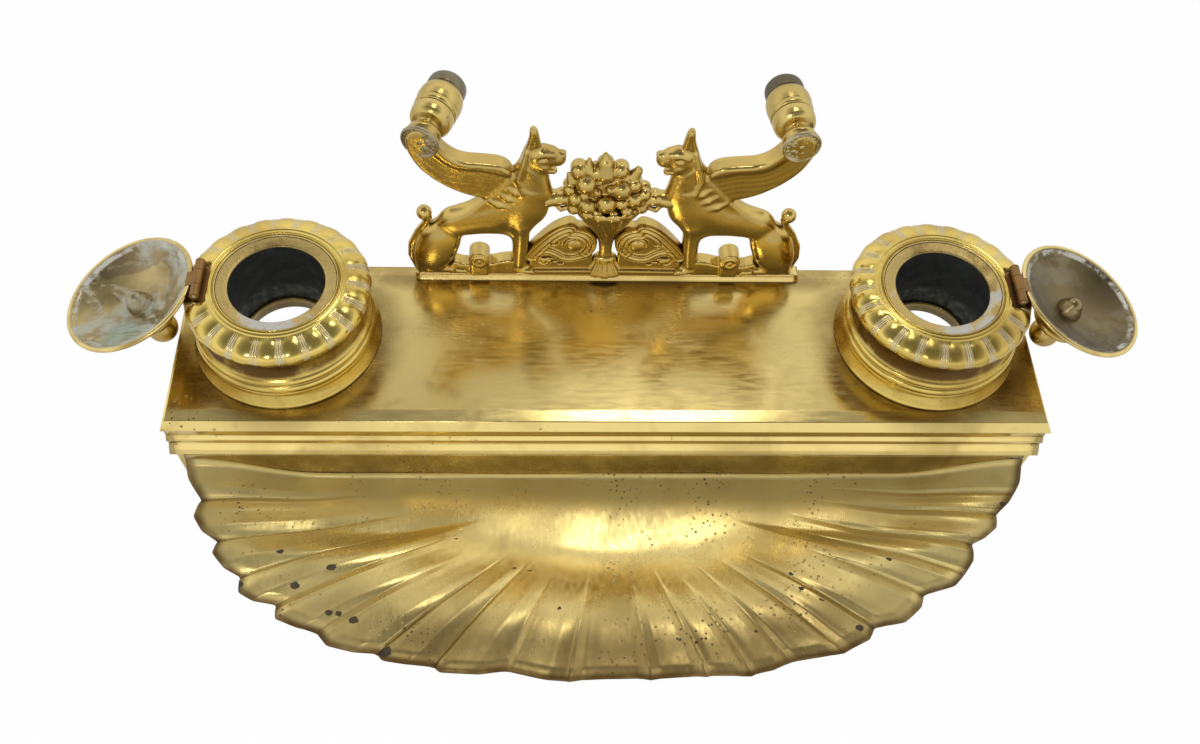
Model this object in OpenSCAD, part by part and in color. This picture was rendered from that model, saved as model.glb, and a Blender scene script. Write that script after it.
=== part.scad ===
// Desk inkstand: a hollow cast base with two lidded ink pots, a scallop tray in
// front and an openwork crest of two winged beasts and a fruit basket behind.
// Millimetres. +X is the right end, -Y the tray side, Z = 0 the table.

/* [Base] */
// Width of the base
base_w = 340; // [300:1:420]
// Height from the table to the top of the deck
base_h = 40; // [34:1:60]
// Thickness of the deck
deck_t = 5; // [4.5:0.5:8]
// Width of the bevel round the deck
bevel_w = 4.5; // [2:0.5:5]
// Height of the bevel round the deck
bevel_h = 4; // [2:0.5:4]
// Thickness of the front and back walls
wall_t = 3; // [2:0.5:5]
// Height of the back wall, which hangs from the deck and stops short of the table
skirt_h = 20; // [10:1:32]
// Thickness of the end plates
end_t = 4; // [3:0.5:6]
// How far each end plate leans in at its foot
end_lean = 2; // [0:0.5:3]
// Depth of the moulding on the front wall
moulding_d = 3; // [2:0.5:5]
// Height of the moulding on the front wall
moulding_h = 16.5; // [12:0.5:18]
// Deck in front of the pots
pot_front_gap = 7; // [4:0.5:30]
// Deck behind the pots
pot_back_gap = 0.5; // [0.5:0.5:20]
// Deck outside the pots
pot_end_gap = 8; // [4:0.5:16]

/* [Tray] */
// How far the tray stands out from the base
tray_reach = 87; // [60:1:120]
// How far the tray stops short of each end of the base
tray_inset = 5; // [4:0.5:30]
// Thickness of the tray
tray_t = 2.4; // [2:0.1:4]
// Height of the tray's rim above the table
tray_rim = 10; // [8:0.5:14]
// Number of broad ribs
rib_count = 17; // [9:1:21]
// Height of the ribs at the rim
rib_h = 2.6; // [1:0.1:3]

/* [Pots] */
// Width of a pot's shoulder outside its lip
shoulder_w = 11.2; // [10.6:0.1:12]
// Height of a pot above the deck
pot_h = 32; // [30:0.5:44]
// Height of the drum under the shoulder
drum_h = 18; // [14:0.5:22]
// Radius of the shoulder's round section
bulge_r = 5.4; // [4:0.1:6]
// Number of gadroons round the shoulder
gadroon_count = 22; // [12:1:30]
// Radius of the well that takes the ink liner
bore_r = 18; // [14:0.1:22]
// Wall of the well's sleeve
sleeve_t = 1.6; // [1.2:0.1:2]
// Width of the flat seat round the well
seat_w = 4.6; // [3:0.1:5]
// Width of the ledge in the deck under the well
ledge_w = 1.2; // [0.8:0.1:3]

/* [Lids] */
// How far a lid reaches past its pot's lip
lid_over = 1.7; // [1.2:0.1:2]
// Height of a lid's dome
lid_dome = 9.2; // [6:0.1:12]
// Thickness of a lid
lid_t = 1.3; // [1:0.1:2]
// How far a lid leans below level when it is open
lid_lean = 19.5; // [10:0.5:20]
// Radius of the hinge knuckles
knuckle_r = 1.8; // [1.6:0.1:2]
// Radius of the hinge pin
pin_r = 0.8; // [0.6:0.1:0.9]
// Length of the hinge
hinge_w = 17; // [14:0.5:18]
// Height of the hinge pin above the pot's lip
hinge_up = 1.3; // [1.2:0.1:2]
// Radius of the finial's collar
finial_r = 9.5; // [6:0.5:10]

/* [Crest] */
// Gap between the crest and each pot
crest_gap = 13.5; // [6:0.5:30]
// Depth of the rail under the crest
rail_d = 8; // [7:0.5:12]
// Height of the rail under the crest
rail_h = 3.2; // [2.5:0.1:5]
// Deck behind the rail
rail_back_gap = 1.5; // [0.5:0.5:6]
// Thickness of the beasts' bodies
figure_t = 4.6; // [4:0.1:6]
// Radius of a rosette
rosette_r = 7.3; // [6:0.1:8]
// Radius of a rest spindle's barrel
barrel_r = 8; // [7.6:0.1:9]
// Length of a rest spindle's barrel
barrel_l = 10; // [6:0.5:16]
// How far each rest spindle turns in towards the other
spindle_turn = 9.5; // [0:0.5:12]

/* [Fixings] */
// Radius of a screw
screw_r = 1.3; // [1:0.1:1.5]
// Radius of a screw head
screw_head_r = 2.6; // [2.2:0.1:3]

/* [Hidden] */

$fn = 96;
brass = [0.80, 0.64, 0.28];
dull_brass = [0.62, 0.49, 0.22];
pale_brass = [0.86, 0.80, 0.62];
copper = [0.76, 0.47, 0.30];
steel = [0.55, 0.55, 0.56];

fit = 0.05;              // radial clearance of a turned fit
gap = 0.3;               // clearance between parts that pass each other
eps = 0.01;              // overlap of a cutting tool past the face it cuts

lip_w = 2.2;             // from the seat's edge to the outside of the lip
lip_r = bore_r + seat_w + lip_w;
drum_r = lip_r + shoulder_w;
base_d = pot_front_gap + 2 * drum_r + pot_back_gap;
pot_x = base_w / 2 - pot_end_gap - drum_r;
pot_y = pot_front_gap + drum_r;
wall_h = base_h - deck_t;
front_y = moulding_d;    // outer face of the front wall
moulding_z = wall_h - moulding_h;

// Tray: a floor just clear of the table, so that the stand rests on its base
tray_clear = 0.3;
tray_floor = tray_clear + tray_t;
tray_a = base_w / 2 - tray_inset;
cove_w = 14;
cove_h = moulding_z - tray_floor - gap;

// Pot
shoulder_r = drum_r - 1.1;
bulge_c = shoulder_r - bulge_r;
bulge_z = pot_h - bulge_r - 0.1;
sleeve_r = bore_r + sleeve_t;
web_t = 3;
drum_wall = 6;
cove_r = drum_r - 5;
screw_pcr = drum_r - drum_wall / 2;
pot_screw_angles = [30, 150, 270];
screw_bite = 5;
head_t = 1.6;

// Lid and hinge
lid_r = lip_r + lid_over;
rim_t = 1.5;
hinge_out = lid_r + knuckle_r + gap;
lid_seat = 0.2;          // height of the closed lid's rim above the lip
pocket_w = hinge_w + 1.4;
pocket_z = pot_h - 3.2;
leaf_t = 1.6;
tongue_w = 6.6;
notch_in = 2;            // how far the hinge tongue reaches in past the lid's edge
knuckle_gap = 0.2;
lid_inset = 2.5;         // width of the lid's flat rim
skin = 1.3 * lid_t;      // thickness of the dome's steep part, measured level
finial_stud_r = 1.5;
finial_z = lid_dome;
stud_l = 3;              // how far the finial's stud stands in under the lid
bud_r = 5;

// Crest
crest_half = pot_x - drum_r - crest_gap;
crest_ref = 76.5;        // half width at which the figures are drawn
k = crest_half / crest_ref;
rail_y = base_d - rail_back_gap - rail_d;
figure_mid = rail_y + rail_d / 2;
chest_gap = 0.1;
haunch = [66.5, 21];     // centres and radii of the raised haunch, chest and head
haunch_r = 8.4;
chest = [31.5, 49];
chest_r = 7.4;
head = [26.5, 71];
head_r = 6;
foreleg_x = 30;
foreleg_w = 6.5;
foreleg_h = 38;
rosette_at = [68.4, 77.2];
rosette_t = 3.5;
tip_boss_t = 4.5;
stud_r = 1.6;
neck_r = 4.2;
neck_l = 5;
cup_l = 6;
cap_r = 7;
cap_l = 4;
spindle_l = rosette_t + tip_boss_t + neck_l + cup_l + barrel_l + cap_l + cap_r * 0.7;
crest_screw_x = [-48, 0, 48];
crest_screw_y = min(figure_mid, base_d - wall_t - screw_head_r - gap);   // heads clear the back wall

// Centres the whole stand front to back on the origin
back_reach = figure_mid - rosette_t - tip_boss_t / 2 + spindle_l * cos(spindle_turn);
shift_y = (tray_reach - back_reach) / 2;

module stand() { translate([0, shift_y, 0]) children(); }
module on_side(side) { if (side < 0) mirror([1, 0, 0]) children(); else children(); }
module at_pot(side) { stand() on_side(side) translate([pot_x, pot_y, base_h]) children(); }
module disc(r, h, z = 0) { translate([0, 0, z]) cylinder(r = r, h = h); }

// ---------------------------------------------------------------- base
module deck_bevel(length) {
    translate([-length / 2, 0, 0]) rotate([90, 0, 90]) linear_extrude(length)
        polygon([[-eps, -bevel_h], [-eps, eps], [bevel_w, eps], [bevel_w, 0], [0, -bevel_h]]);
}

module deck_plate() {
    color(brass) stand() difference() {
        translate([-base_w / 2, 0, wall_h]) cube([base_w, base_d, deck_t]);
        translate([0, 0, base_h]) deck_bevel(base_w + 2);
        for (side = [-1, 1]) on_side(side) translate([base_w / 2, base_d / 2, base_h])
            rotate([0, 0, 90]) deck_bevel(base_d + 2);
        for (side = [-1, 1]) on_side(side) translate([pot_x, pot_y, wall_h - 1]) {
            cylinder(r = bore_r - ledge_w, h = deck_t + 2);
            for (a = pot_screw_angles) rotate([0, 0, a]) translate([screw_pcr, 0, 0])
                cylinder(r = screw_r + fit, h = deck_t + 2);
        }
        for (x = crest_screw_x) translate([x * k, crest_screw_y, wall_h - 1])
            cylinder(r = screw_r + fit, h = deck_t + 2);
    }
}

module front_wall() {
    color(dull_brass) stand() difference() {
        translate([-base_w / 2 + end_t, front_y, 0]) cube([base_w - 2 * end_t, wall_t, wall_h]);
        at_tray_screws() cylinder(r = screw_r + fit, h = 4 * wall_t, center = true);
    }
}

module back_wall() {
    color(dull_brass) stand() translate([-base_w / 2 + end_t, base_d - wall_t, wall_h - skirt_h])
        cube([base_w - 2 * end_t, wall_t, skirt_h]);
}

// Cavetto groove above a fillet, as one strip between the end plates
module front_moulding() {
    groove_r = 4.2;
    fillet_h = 7.5;
    color(brass) stand() translate([-base_w / 2 + end_t, 0, 0]) rotate([90, 0, 90])
        linear_extrude(base_w - 2 * end_t) difference() {
            translate([0, moulding_z]) square([front_y, moulding_h]);
            translate([-groove_r * 0.45, moulding_z + fillet_h + groove_r * 0.9]) circle(groove_r);
            translate([-1, wall_h - 1]) square([1.6, 2]);
        }
}

module end_plate(side) {
    color(brass) stand() on_side(side) translate([base_w / 2, base_d, 0]) rotate([90, 0, 0])
        linear_extrude(base_d) polygon([[-end_t, 0], [-end_lean, 0], [0, wall_h * 0.7],
            [0, wall_h], [-end_t, wall_h]]);
}

// ---------------------------------------------------------------- tray
tray_steps = 102;        // facets along the rim, six to a broad rib
ring_steps = 10;
squareness = 2.35;       // exponent of the outline's superellipse
function rim_x(a) = tray_a * sign(cos(a)) * pow(abs(cos(a)), 2 / squareness);
function rim_y(a) = -tray_reach * pow(abs(sin(a)), 2 / squareness);
function fade(s) = s < 0.4 ? 0 : pow((s - 0.4) / 0.6, 1.4);
function wave(a) = cos(a * 2 * rib_count);
function cove(y) = -y > cove_w ? 0 : cove_h * (1 - sqrt(1 - pow(1 + y / cove_w, 2)));
function tray_z(s, a, y) = tray_floor + max(cove(y) * (1 - 0.8 * pow(s * abs(cos(a)), 6)),
    (tray_rim - tray_floor) * pow(s, 2.4) * (0.55 + 0.45 * abs(sin(a)))
    + rib_h * 0.5 * fade(s) * (1 + wave(a)));
function scallop(s, a) = 1 + 0.018 * fade(s) * (wave(a) - 1);
function ring_s(i) = pow(i / ring_steps, 1.5);   // rings close up towards the cove
function tray_point(i, j, drop) = let (a = 180 * j / tray_steps, s = ring_s(i),
    x = s * scallop(s, a) * rim_x(a), y = s * scallop(s, a) * rim_y(a))
    [x, y, max(tray_z(s, a, y) - drop, tray_clear)];

module tray_shell() {
    row = tray_steps + 1;
    layer = ring_steps * row;
    top = [for (i = [1 : ring_steps]) for (j = [0 : tray_steps]) tray_point(i, j, 0)];
    low = [for (i = [1 : ring_steps]) for (j = [0 : tray_steps]) tray_point(i, j, tray_t)];
    hub_z = tray_z(0, 90, 0);
    hub = 2 * layer;
    quads = [for (i = [0 : ring_steps - 2]) for (j = [0 : tray_steps - 1]) i * row + j];
    faces = concat(
        [for (q = quads) [q, q + row, q + 1]],
        [for (q = quads) [q + 1, q + row, q + row + 1]],
        [for (q = quads) [layer + q, layer + q + 1, layer + q + row]],
        [for (q = quads) [layer + q + 1, layer + q + row + 1, layer + q + row]],
        [for (j = [0 : tray_steps - 1]) [hub, j, j + 1]],
        [for (j = [0 : tray_steps - 1]) [hub + 1, layer + j + 1, layer + j]],
        [for (j = [0 : tray_steps - 1]) let (q = (ring_steps - 1) * row + j)
            [q, layer + q, q + 1]],
        [for (j = [0 : tray_steps - 1]) let (q = (ring_steps - 1) * row + j)
            [q + 1, layer + q, layer + q + 1]],
        [for (i = [0 : ring_steps - 2]) let (q = i * row)
            [q, layer + q, q + row]],
        [for (i = [0 : ring_steps - 2]) let (q = i * row)
            [q + row, layer + q, layer + q + row]],
        [for (i = [0 : ring_steps - 2]) let (q = i * row + tray_steps)
            [q, q + row, layer + q]],
        [for (i = [0 : ring_steps - 2]) let (q = i * row + tray_steps)
            [q + row, layer + q + row, layer + q]],
        [[hub, hub + 1, 0], [0, hub + 1, layer]],
        [[hub, tray_steps, hub + 1], [tray_steps, layer + tray_steps, hub + 1]]);
    polyhedron(concat(top, low, [[0, 0, hub_z], [0, 0, hub_z - tray_t]]), faces);
}

module at_tray_screws() {
    for (side = [-1, 1]) for (share = [0.25, 0.75])
        translate([side * share * tray_a, front_y, moulding_z / 2]) rotate([90, 0, 0]) children();
}

// The dish and the upright flange that bolts to the front wall
module shell_tray() {
    color(brass) stand() difference() {
        union() {
            translate([0, 0.4, 0]) tray_shell();
            translate([-tray_a, 0, tray_clear])
                cube([2 * tray_a, front_y, moulding_z - gap - tray_clear]);
        }
        at_tray_screws() translate([0, 0, -1]) cylinder(r = screw_r, h = moulding_d - 0.6 + 1);
    }
}

module screw(length) {
    cylinder(r = screw_r, h = length);
    translate([0, 0, -head_t]) cylinder(r = screw_head_r, h = head_t);
}

module tray_screws() {
    color(steel) stand() at_tray_screws() translate([0, 0, -wall_t])
        screw(wall_t + moulding_d - 0.8);
}

// ---------------------------------------------------------------- pots
module pot_drum(side) {
    bead_r = 2;
    color(brass) at_pot(side) difference() {
        union() {
            disc(drum_r, 1.2);
            disc(drum_r - 1.6, drum_h - 0.4, 0);
            for (z = [drum_h - 6, drum_h - 2.1]) translate([0, 0, z])
                rotate_extrude() translate([drum_r - bead_r - 0.6, 0]) circle(bead_r);
            disc(cove_r, 0.4, drum_h - 0.4);
        }
        translate([0, 0, -eps]) cylinder(r = drum_r - drum_wall, h = drum_h - web_t + eps);
        translate([0, 0, -1]) cylinder(r = sleeve_r + fit, h = drum_h + 2);
        for (a = pot_screw_angles) rotate([0, 0, a]) translate([screw_pcr, 0, -1])
            cylinder(r = screw_r, h = screw_bite + 1.2);
    }
}

// Bulging ring with gadroons, a lip round the seat and a pocket for the hinge
module pot_shoulder(side) {
    groove_r = 1;
    color(brass) at_pot(side) difference() {
        union() {
            disc(cove_r, bulge_z - drum_h, drum_h);
            translate([0, 0, bulge_z]) rotate_extrude() translate([bulge_c, 0]) circle(bulge_r);
            disc(bulge_c, bulge_r - 0.1, bulge_z);
            disc(lip_r, pot_h - bulge_z, bulge_z);
        }
        translate([0, 0, drum_h - 1]) cylinder(r = sleeve_r + fit, h = pot_h);
        translate([0, 0, pot_h - 1.4]) cylinder(r = bore_r + seat_w + fit, h = 2);
        for (i = [0 : gadroon_count - 1]) rotate([0, 0, (i + 0.5) * 360 / gadroon_count])
            translate([bulge_c, 0, bulge_z]) rotate([0, 45, 0])
                translate([0, 0, bulge_r]) rotate([0, 90, 0])
                    cylinder(r = groove_r, h = bulge_r * 1.1, center = true);
        translate([lip_r + gap, -pocket_w / 2, pocket_z]) cube([drum_r, pocket_w, pot_h]);
    }
}

module well_sleeve(side) {
    color(pale_brass) at_pot(side) difference() {
        union() {
            disc(sleeve_r, pot_h - 1.4);
            disc(bore_r + seat_w, 1, pot_h - 1.4);
        }
        translate([0, 0, -1]) cylinder(r = bore_r, h = pot_h + 2);
    }
}

module pot_screws() {
    color(steel) stand() for (side = [-1, 1]) on_side(side)
        translate([pot_x, pot_y, wall_h]) for (a = pot_screw_angles) rotate([0, 0, a])
            translate([screw_pcr, 0, 0]) screw(deck_t + screw_bite);
}

// ---------------------------------------------------------------- hinges and lids
module at_hinge(side) { at_pot(side) translate([hinge_out, 0, pot_h + hinge_up]) children(); }

// Carries a lid drawn closed over its pot to the open position it rests in
module opened(side) {
    at_hinge(side) rotate([0, 180 + lid_lean, 0])
        translate([-hinge_out, 0, lid_seat - hinge_up]) children();
}

module knuckle(length, y) {
    translate([0, y, 0]) rotate([90, 0, 0]) cylinder(r = knuckle_r, h = length, center = true);
}

module pin_hole() { rotate([90, 0, 0]) cylinder(r = pin_r + fit, h = 2 * hinge_w, center = true); }

module hinge_leaf(side) {
    ear_w = (hinge_w - tongue_w) / 2 - knuckle_gap;
    ear_y = (hinge_w - ear_w) / 2;
    leaf_z = pocket_z - pot_h - hinge_up;
    color(copper) at_hinge(side) difference() {
        union() {
            translate([lip_r + gap - hinge_out, -hinge_w / 2, leaf_z])
                cube([hinge_out - lip_r - gap + 1, hinge_w, leaf_t]);
            for (s = [-1, 1]) {
                knuckle(ear_w, s * ear_y);
                translate([-1, s * ear_y - ear_w / 2, leaf_z]) cube([2, ear_w, -leaf_z]);
            }
        }
        pin_hole();
    }
}

module hinge_pin(side) {
    color(steel) at_hinge(side) rotate([90, 0, 0]) cylinder(r = pin_r, h = hinge_w, center = true);
}

// Half section of a dome of radius a and height h, standing on the rim's top
module dome_section(a, h) {
    steps = 14;
    polygon(concat([[0, rim_t]],
        [for (i = [0 : steps]) let (t = 1 - i / steps) [a * t, rim_t + h * (1 - pow(t, 1.7))]]));
}

// Shallow dome with a flat rim, open below, notched for the hinge tongue
module lid(side) {
    dome_r = lid_r - lid_inset;
    dome_h = lid_dome - rim_t;
    color(brass) opened(side) difference() {
        union() {
            disc(lid_r, rim_t);
            rotate_extrude() dome_section(dome_r, dome_h);
        }
        rotate_extrude() dome_section(dome_r - skin, dome_h - lid_t);
        disc(dome_r - skin, rim_t + 1 + eps, -1);
        disc(finial_stud_r + fit, 2 * lid_dome);
        translate([lid_r - notch_in, -tongue_w / 2, -1])
            cube([2 * notch_in, tongue_w, rim_t + 2]);
    }
}

module lid_knuckle(side) {
    color(copper) opened(side) difference() {
        union() {
            translate([lid_r - notch_in, -tongue_w / 2, 0])
                cube([hinge_out - lid_r + notch_in, tongue_w, rim_t]);
            translate([hinge_out, 0, hinge_up - lid_seat]) knuckle(tongue_w, 0);
        }
        translate([hinge_out, 0, hinge_up - lid_seat]) pin_hole();
    }
}

module finial(side) {
    collar_t = 3;
    color(brass) opened(side) union() {
        disc(finial_stud_r, stud_l + 2, lid_dome - lid_t - stud_l);
        disc(4, 3.4, finial_z);
        translate([0, 0, finial_z + 4.2]) rotate_extrude() {
            translate([0, -collar_t / 2]) square([finial_r - collar_t / 2, collar_t]);
            translate([finial_r - collar_t / 2, 0]) circle(collar_t / 2);
        }
        disc(3, 4, finial_z + 5);
        translate([0, 0, finial_z + 12]) sphere(bud_r);
        disc(1.4, 2.6, finial_z + 12 + bud_r - 0.6);
    }
}

// Domed nut inside the lid that holds the finial's stud
module finial_nut(side) {
    nut_h = 4.4;
    nut_drop = 0.35;         // the nut's edge stays clear of the dome's slope
    color(brass) opened(side) translate([0, 0, lid_dome - lid_t - nut_drop]) mirror([0, 0, 1])
        difference() {
            cylinder(r1 = 3.6, r2 = 1.8, h = nut_h);
            translate([0, 0, -1]) cylinder(r = finial_stud_r + fit, h = stud_l + 1.2);
        }
}

// ---------------------------------------------------------------- crest
module on_rail() { translate([0, figure_mid, base_h]) children(); }

// Draws an outline at the crest's size as an upright slab round the crest's middle plane
module slab(t) {
    stand() on_rail() rotate([90, 0, 0]) translate([0, 0, -t / 2]) linear_extrude(t) children();
}

module crest_rail() {
    end = 1.5;
    hollow_r = 1.6;
    color(brass) stand() difference() {
        translate([-crest_half - end, rail_y, base_h]) cube([2 * (crest_half + end), rail_d, rail_h]);
        translate([-crest_half - 2 * end, rail_y - 0.6, base_h + rail_h]) rotate([0, 90, 0])
            cylinder(r = hollow_r, h = 2 * crest_half + 4 * end);
        for (x = crest_screw_x) translate([x * k, crest_screw_y, base_h - 1])
            cylinder(r = screw_r, h = rail_h);
    }
}

module crest_screws() {
    color(steel) stand() for (x = crest_screw_x) translate([x * k, crest_screw_y, wall_h])
        screw(deck_t + rail_h - 1.2);
}

// Outlines, at the reference width: x out from the middle, y up from the deck
body_line = [[25.6, rail_h], [26, 6], [29.4, 8.3], [29, 15], [29.4, 26.7], [26.4, 32.6],
    [23.7, 38.4], [22.2, 45.2], [22.5, 56.2], [23.5, 62.1], [19.8, 61.1], [19, 63.7],
    [20.4, 66.6], [17.3, 68.9], [17, 72], [18.5, 76.1], [23.9, 78.5], [28.6, 82], [30, 86.2],
    [31.6, 83.5], [31.5, 78.3], [34.2, 74.5], [36.5, 68], [39, 60], [46, 56], [52.8, 50.3],
    [61.8, 43], [67.8, 38.9], [71.6, 33.1], [75.6, 22], [76.5, 14], [75.2, rail_h],
    [57.2, rail_h], [57.4, 6], [62.5, 8.5], [59.5, 15.4], [57, 24.5], [49.1, 25.8],
    [39.7, 27.1], [37.5, 21.8], [37.3, rail_h]];
wing_line = [[37, 56], [37.3, 68], [40.2, 71.6], [46.6, 76.6], [54.4, 77.4], [59, 78.6],
    [62.3, 81], [68.4, 83.5], [74.6, 77], [71.5, 69.5], [66.1, 64], [62.7, 59.3],
    [58.6, 55], [52.8, 50.3], [45, 45]];

// Brings a drawn point, an outline or a circle to the crest's size
function sized(p) = [p.x * k, rail_h + (p.y - rail_h) * k];
module outline(line) { polygon([for (p = line) sized(p)]); }
module beast() { outline(body_line); }
module foreleg(more) {
    translate([foreleg_x * k, rail_h]) square([foreleg_w * k + more, foreleg_h * k]);
}
module grown(p, r) { translate(sized(p)) circle(r * k); }

module at_spindle(side) {
    stand() on_rail() on_side(side)
        translate([sized(rosette_at).x, 0, sized(rosette_at).y])
            rotate([-90, 0, spindle_turn]) translate([0, 0, -tip_boss_t / 2]) children();
}

module griffin(side) {
    tail_r = 2.8;
    color(brass) difference() {
        union() {
            slab(figure_t) on_side(side) {
                beast();
                grown([71.2, 41.6], tail_r);
                translate([68 * k, rail_h + 32 * k]) square([3 * k, 7 * k]);
            }
            slab(figure_t + 2) on_side(side) {
                grown(haunch, haunch_r);
                grown(chest, chest_r);
                grown(head, head_r);
            }
            slab(figure_t + 1.2) on_side(side) {
                outline(wing_line);
                foreleg(0);
            }
            at_spindle(side) cylinder(r = rosette_r - 1, h = tip_boss_t);
        }
        at_spindle(side) translate([0, 0, -6]) cylinder(r = stud_r + fit, h = 18);
        at_spindle(side) translate([0, 0, tip_boss_t]) cylinder(r = barrel_r + 6, h = 12);
        at_spindle(side) translate([0, 0, -12]) cylinder(r = barrel_r + 6, h = 12);
    }
}

// Big volute beside the basket, under a band that sweeps out to the beast's foreleg,
// with a small volute below; two small gaps go right through
band_line = [[2.6, 20], [4.2, 30], [7.2, 36], [11, 37.3], [17.9, 35.6], [23.7, 30.9],
    [29.2, 21.9], [29.2, 9], [12, 7]];

module scroll(side) {
    big = [12.4, 19];
    small = [22.8, 9.6];
    groove_d = 1;
    color(brass) difference() {
        union() {
            slab(figure_t) on_side(side) outline(band_line);
            slab(figure_t) on_side(side) grown(big, 8.4);
            slab(figure_t) on_side(side) grown(small, 6.2);
            slab(figure_t) on_side(side) translate([7 * k, rail_h]) square([20 * k, 3.4 * k]);
        }
        slab(2 * rail_d) on_side(side) translate([0, -base_h]) square([60 * k, base_h + rail_h]);
        slab(2 * rail_d) on_side(side) beast();
        slab(2 * rail_d) on_side(side) outline(basket_line);
        slab(2 * rail_d) on_side(side) grown([19.4, 22.6], 1.7);
        slab(2 * rail_d) on_side(side) grown([19.8, 13.2], 1.2);
        stand() on_rail() rotate([90, 0, 0]) translate([0, 0, figure_t / 2 - groove_d])
            linear_extrude(2 * groove_d) on_side(side) difference() {
                grown(big, 6.2);
                grown(big, 4);
                translate([0, rail_h + 14 * k]) square([big.x * k, 4 * k]);
            }
    }
}

// Low panel and round scroll end between a beast's front and hind legs
module under_scroll(side) {
    color(brass) union() {
        slab(figure_t - 1) on_side(side) difference() {
            outline([[36, rail_h], [36, 20], [45, 21.5], [52, 18], [60, 14], [64, rail_h]]);
            beast();
            foreleg(1);
            grown(haunch, haunch_r);
        }
        slab(figure_t + 1.6) on_side(side) difference() {
            union() {
                grown([51, 17.4], 3.9);
                translate([47.6 * k, rail_h]) square([6.8 * k, 14.2 * k]);
            }
            beast();
        }
    }
}

basket_line = [[-7.6, rail_h], [-6.8, 8], [-3, 12], [-2.6, 20], [-4.5, 29], [-8, 38],
    [8, 38], [4.5, 29], [2.6, 20], [3, 12], [6.8, 8], [7.6, rail_h]];

module basket() {
    line = [[0, rail_h], [6, rail_h], [6.2, 6.5], [3, 11], [2.4, 20], [4, 29], [7.4, 38], [0, 38]];
    color(brass) intersection() {
        stand() on_rail() rotate_extrude()
            outline(line);
        slab(rail_d * 1.6) translate([-20, rail_h]) square([40, 60]);
    }
}

// Balls of fruit round a core, and the links that reach the beasts' chests
fruit_balls = [[0, 64, 5], [-7, 61, 4.6], [7, 59.5, 4.6], [-11.5, 54, 4.8], [12, 53, 4.6],
    [-13, 45.5, 4.4], [13.6, 45.5, 4.4], [-6, 42.8, 4.4], [1, 43.5, 4.6], [7.4, 43, 4.4],
    [-4.6, 52, 5.4], [4.8, 51.5, 5.4]];

module fruit() {
    color(brass) difference() {
        union() {
            stand() on_rail() for (b = fruit_balls)
                translate([b.x * k, b.y > 48 && abs(b.x) < 6 ? -1.5 : 0,
                    rail_h + (b.y - rail_h) * k]) sphere(r = b.z * k);
            slab(figure_t) outline([[-13, 40], [-15, 50], [-9, 60], [0, 66], [9, 60],
                [15, 50], [13, 40], [6, 38.2], [-6, 38.2]]);
            slab(figure_t - 0.6) for (side = [-1, 1]) on_side(side) difference() {
                outline([[12, 44], [12, 54.5], [17, 53], [23.5, 55.8], [23.5, 45], [18, 46.5]]);
                beast();
            }
        }
        for (side = [-1, 1]) slab(figure_t + 4) on_side(side) grown(chest, chest_r + chest_gap);
        basket_top();
        for (side = [-1, 1]) slab(4 * rail_d) on_side(side) outline(band_line);
    }
}

module basket_top() {
    stand() on_rail() translate([0, 0, rail_h + (34 - rail_h) * k])
        cylinder(r = 9 * k, h = (38 - 34) * k);
}

// ---------------------------------------------------------------- rosettes and spindles
module rosette(side) {
    petals = 8;
    color(brass) at_spindle(side) translate([0, 0, -rosette_t]) difference() {
        union() {
            disc(rosette_r, rosette_t - 0.8, 0.8);
            difference() {
                disc(rosette_r - 0.8, rosette_t);
                disc(rosette_r - 1.8, 0.8, -eps);
            }
            for (i = [0 : petals - 1]) rotate([0, 0, i * 360 / petals])
                translate([3.6, 0, 0.8]) sphere(r = 1.4);
            translate([0, 0, 0.8]) sphere(r = 1.6);
        }
        translate([0, 0, 1.6]) cylinder(r = stud_r + fit, h = rosette_t);
    }
}

// Turned neck and cup, with a stud through the wing tip into the rosette
module spindle_cup(side) {
    color(brass) at_spindle(side) union() {
        translate([0, 0, 1.8 - rosette_t]) cylinder(r = stud_r, h = rosette_t + tip_boss_t);
        disc(neck_r, neck_l + 1, tip_boss_t);
        translate([0, 0, tip_boss_t]) rotate_extrude() polygon(concat([[0, neck_l - 2]],
            [for (i = [0 : 8]) let (a = 90 * i / 8)
                [neck_r + (barrel_r - 0.3 - neck_r) * sin(a), neck_l - 2 + 4 * (1 - cos(a))]],
            [[barrel_r - 0.3, neck_l + cup_l], [0, neck_l + cup_l]]));
    }
}

module spindle_barrel(side) {
    start = tip_boss_t + neck_l + cup_l;
    color(brass) at_spindle(side) difference() {
        union() {
            disc(barrel_r, 1.4, start);
            disc(barrel_r - 0.3, barrel_l - 2.4, start + 1.4);
            disc(barrel_r - 0.7, 1, start + barrel_l - 1);
        }
        for (a = [70, 200]) translate([0, 0, start + barrel_l * 0.6]) rotate([0, 90, a])
            translate([0, 0, barrel_r - 2]) cylinder(r = 0.8, h = 4);
    }
}

module spindle_cap(side) {
    start = tip_boss_t + neck_l + cup_l + barrel_l;
    color(dull_brass) at_spindle(side) union() {
        disc(cap_r, cap_l, start);
        intersection() {
            translate([0, 0, start + cap_l - 0.3 * cap_r]) sphere(r = cap_r * 1.044);
            disc(cap_r, cap_r, start + cap_l - eps);
        }
    }
}

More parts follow.
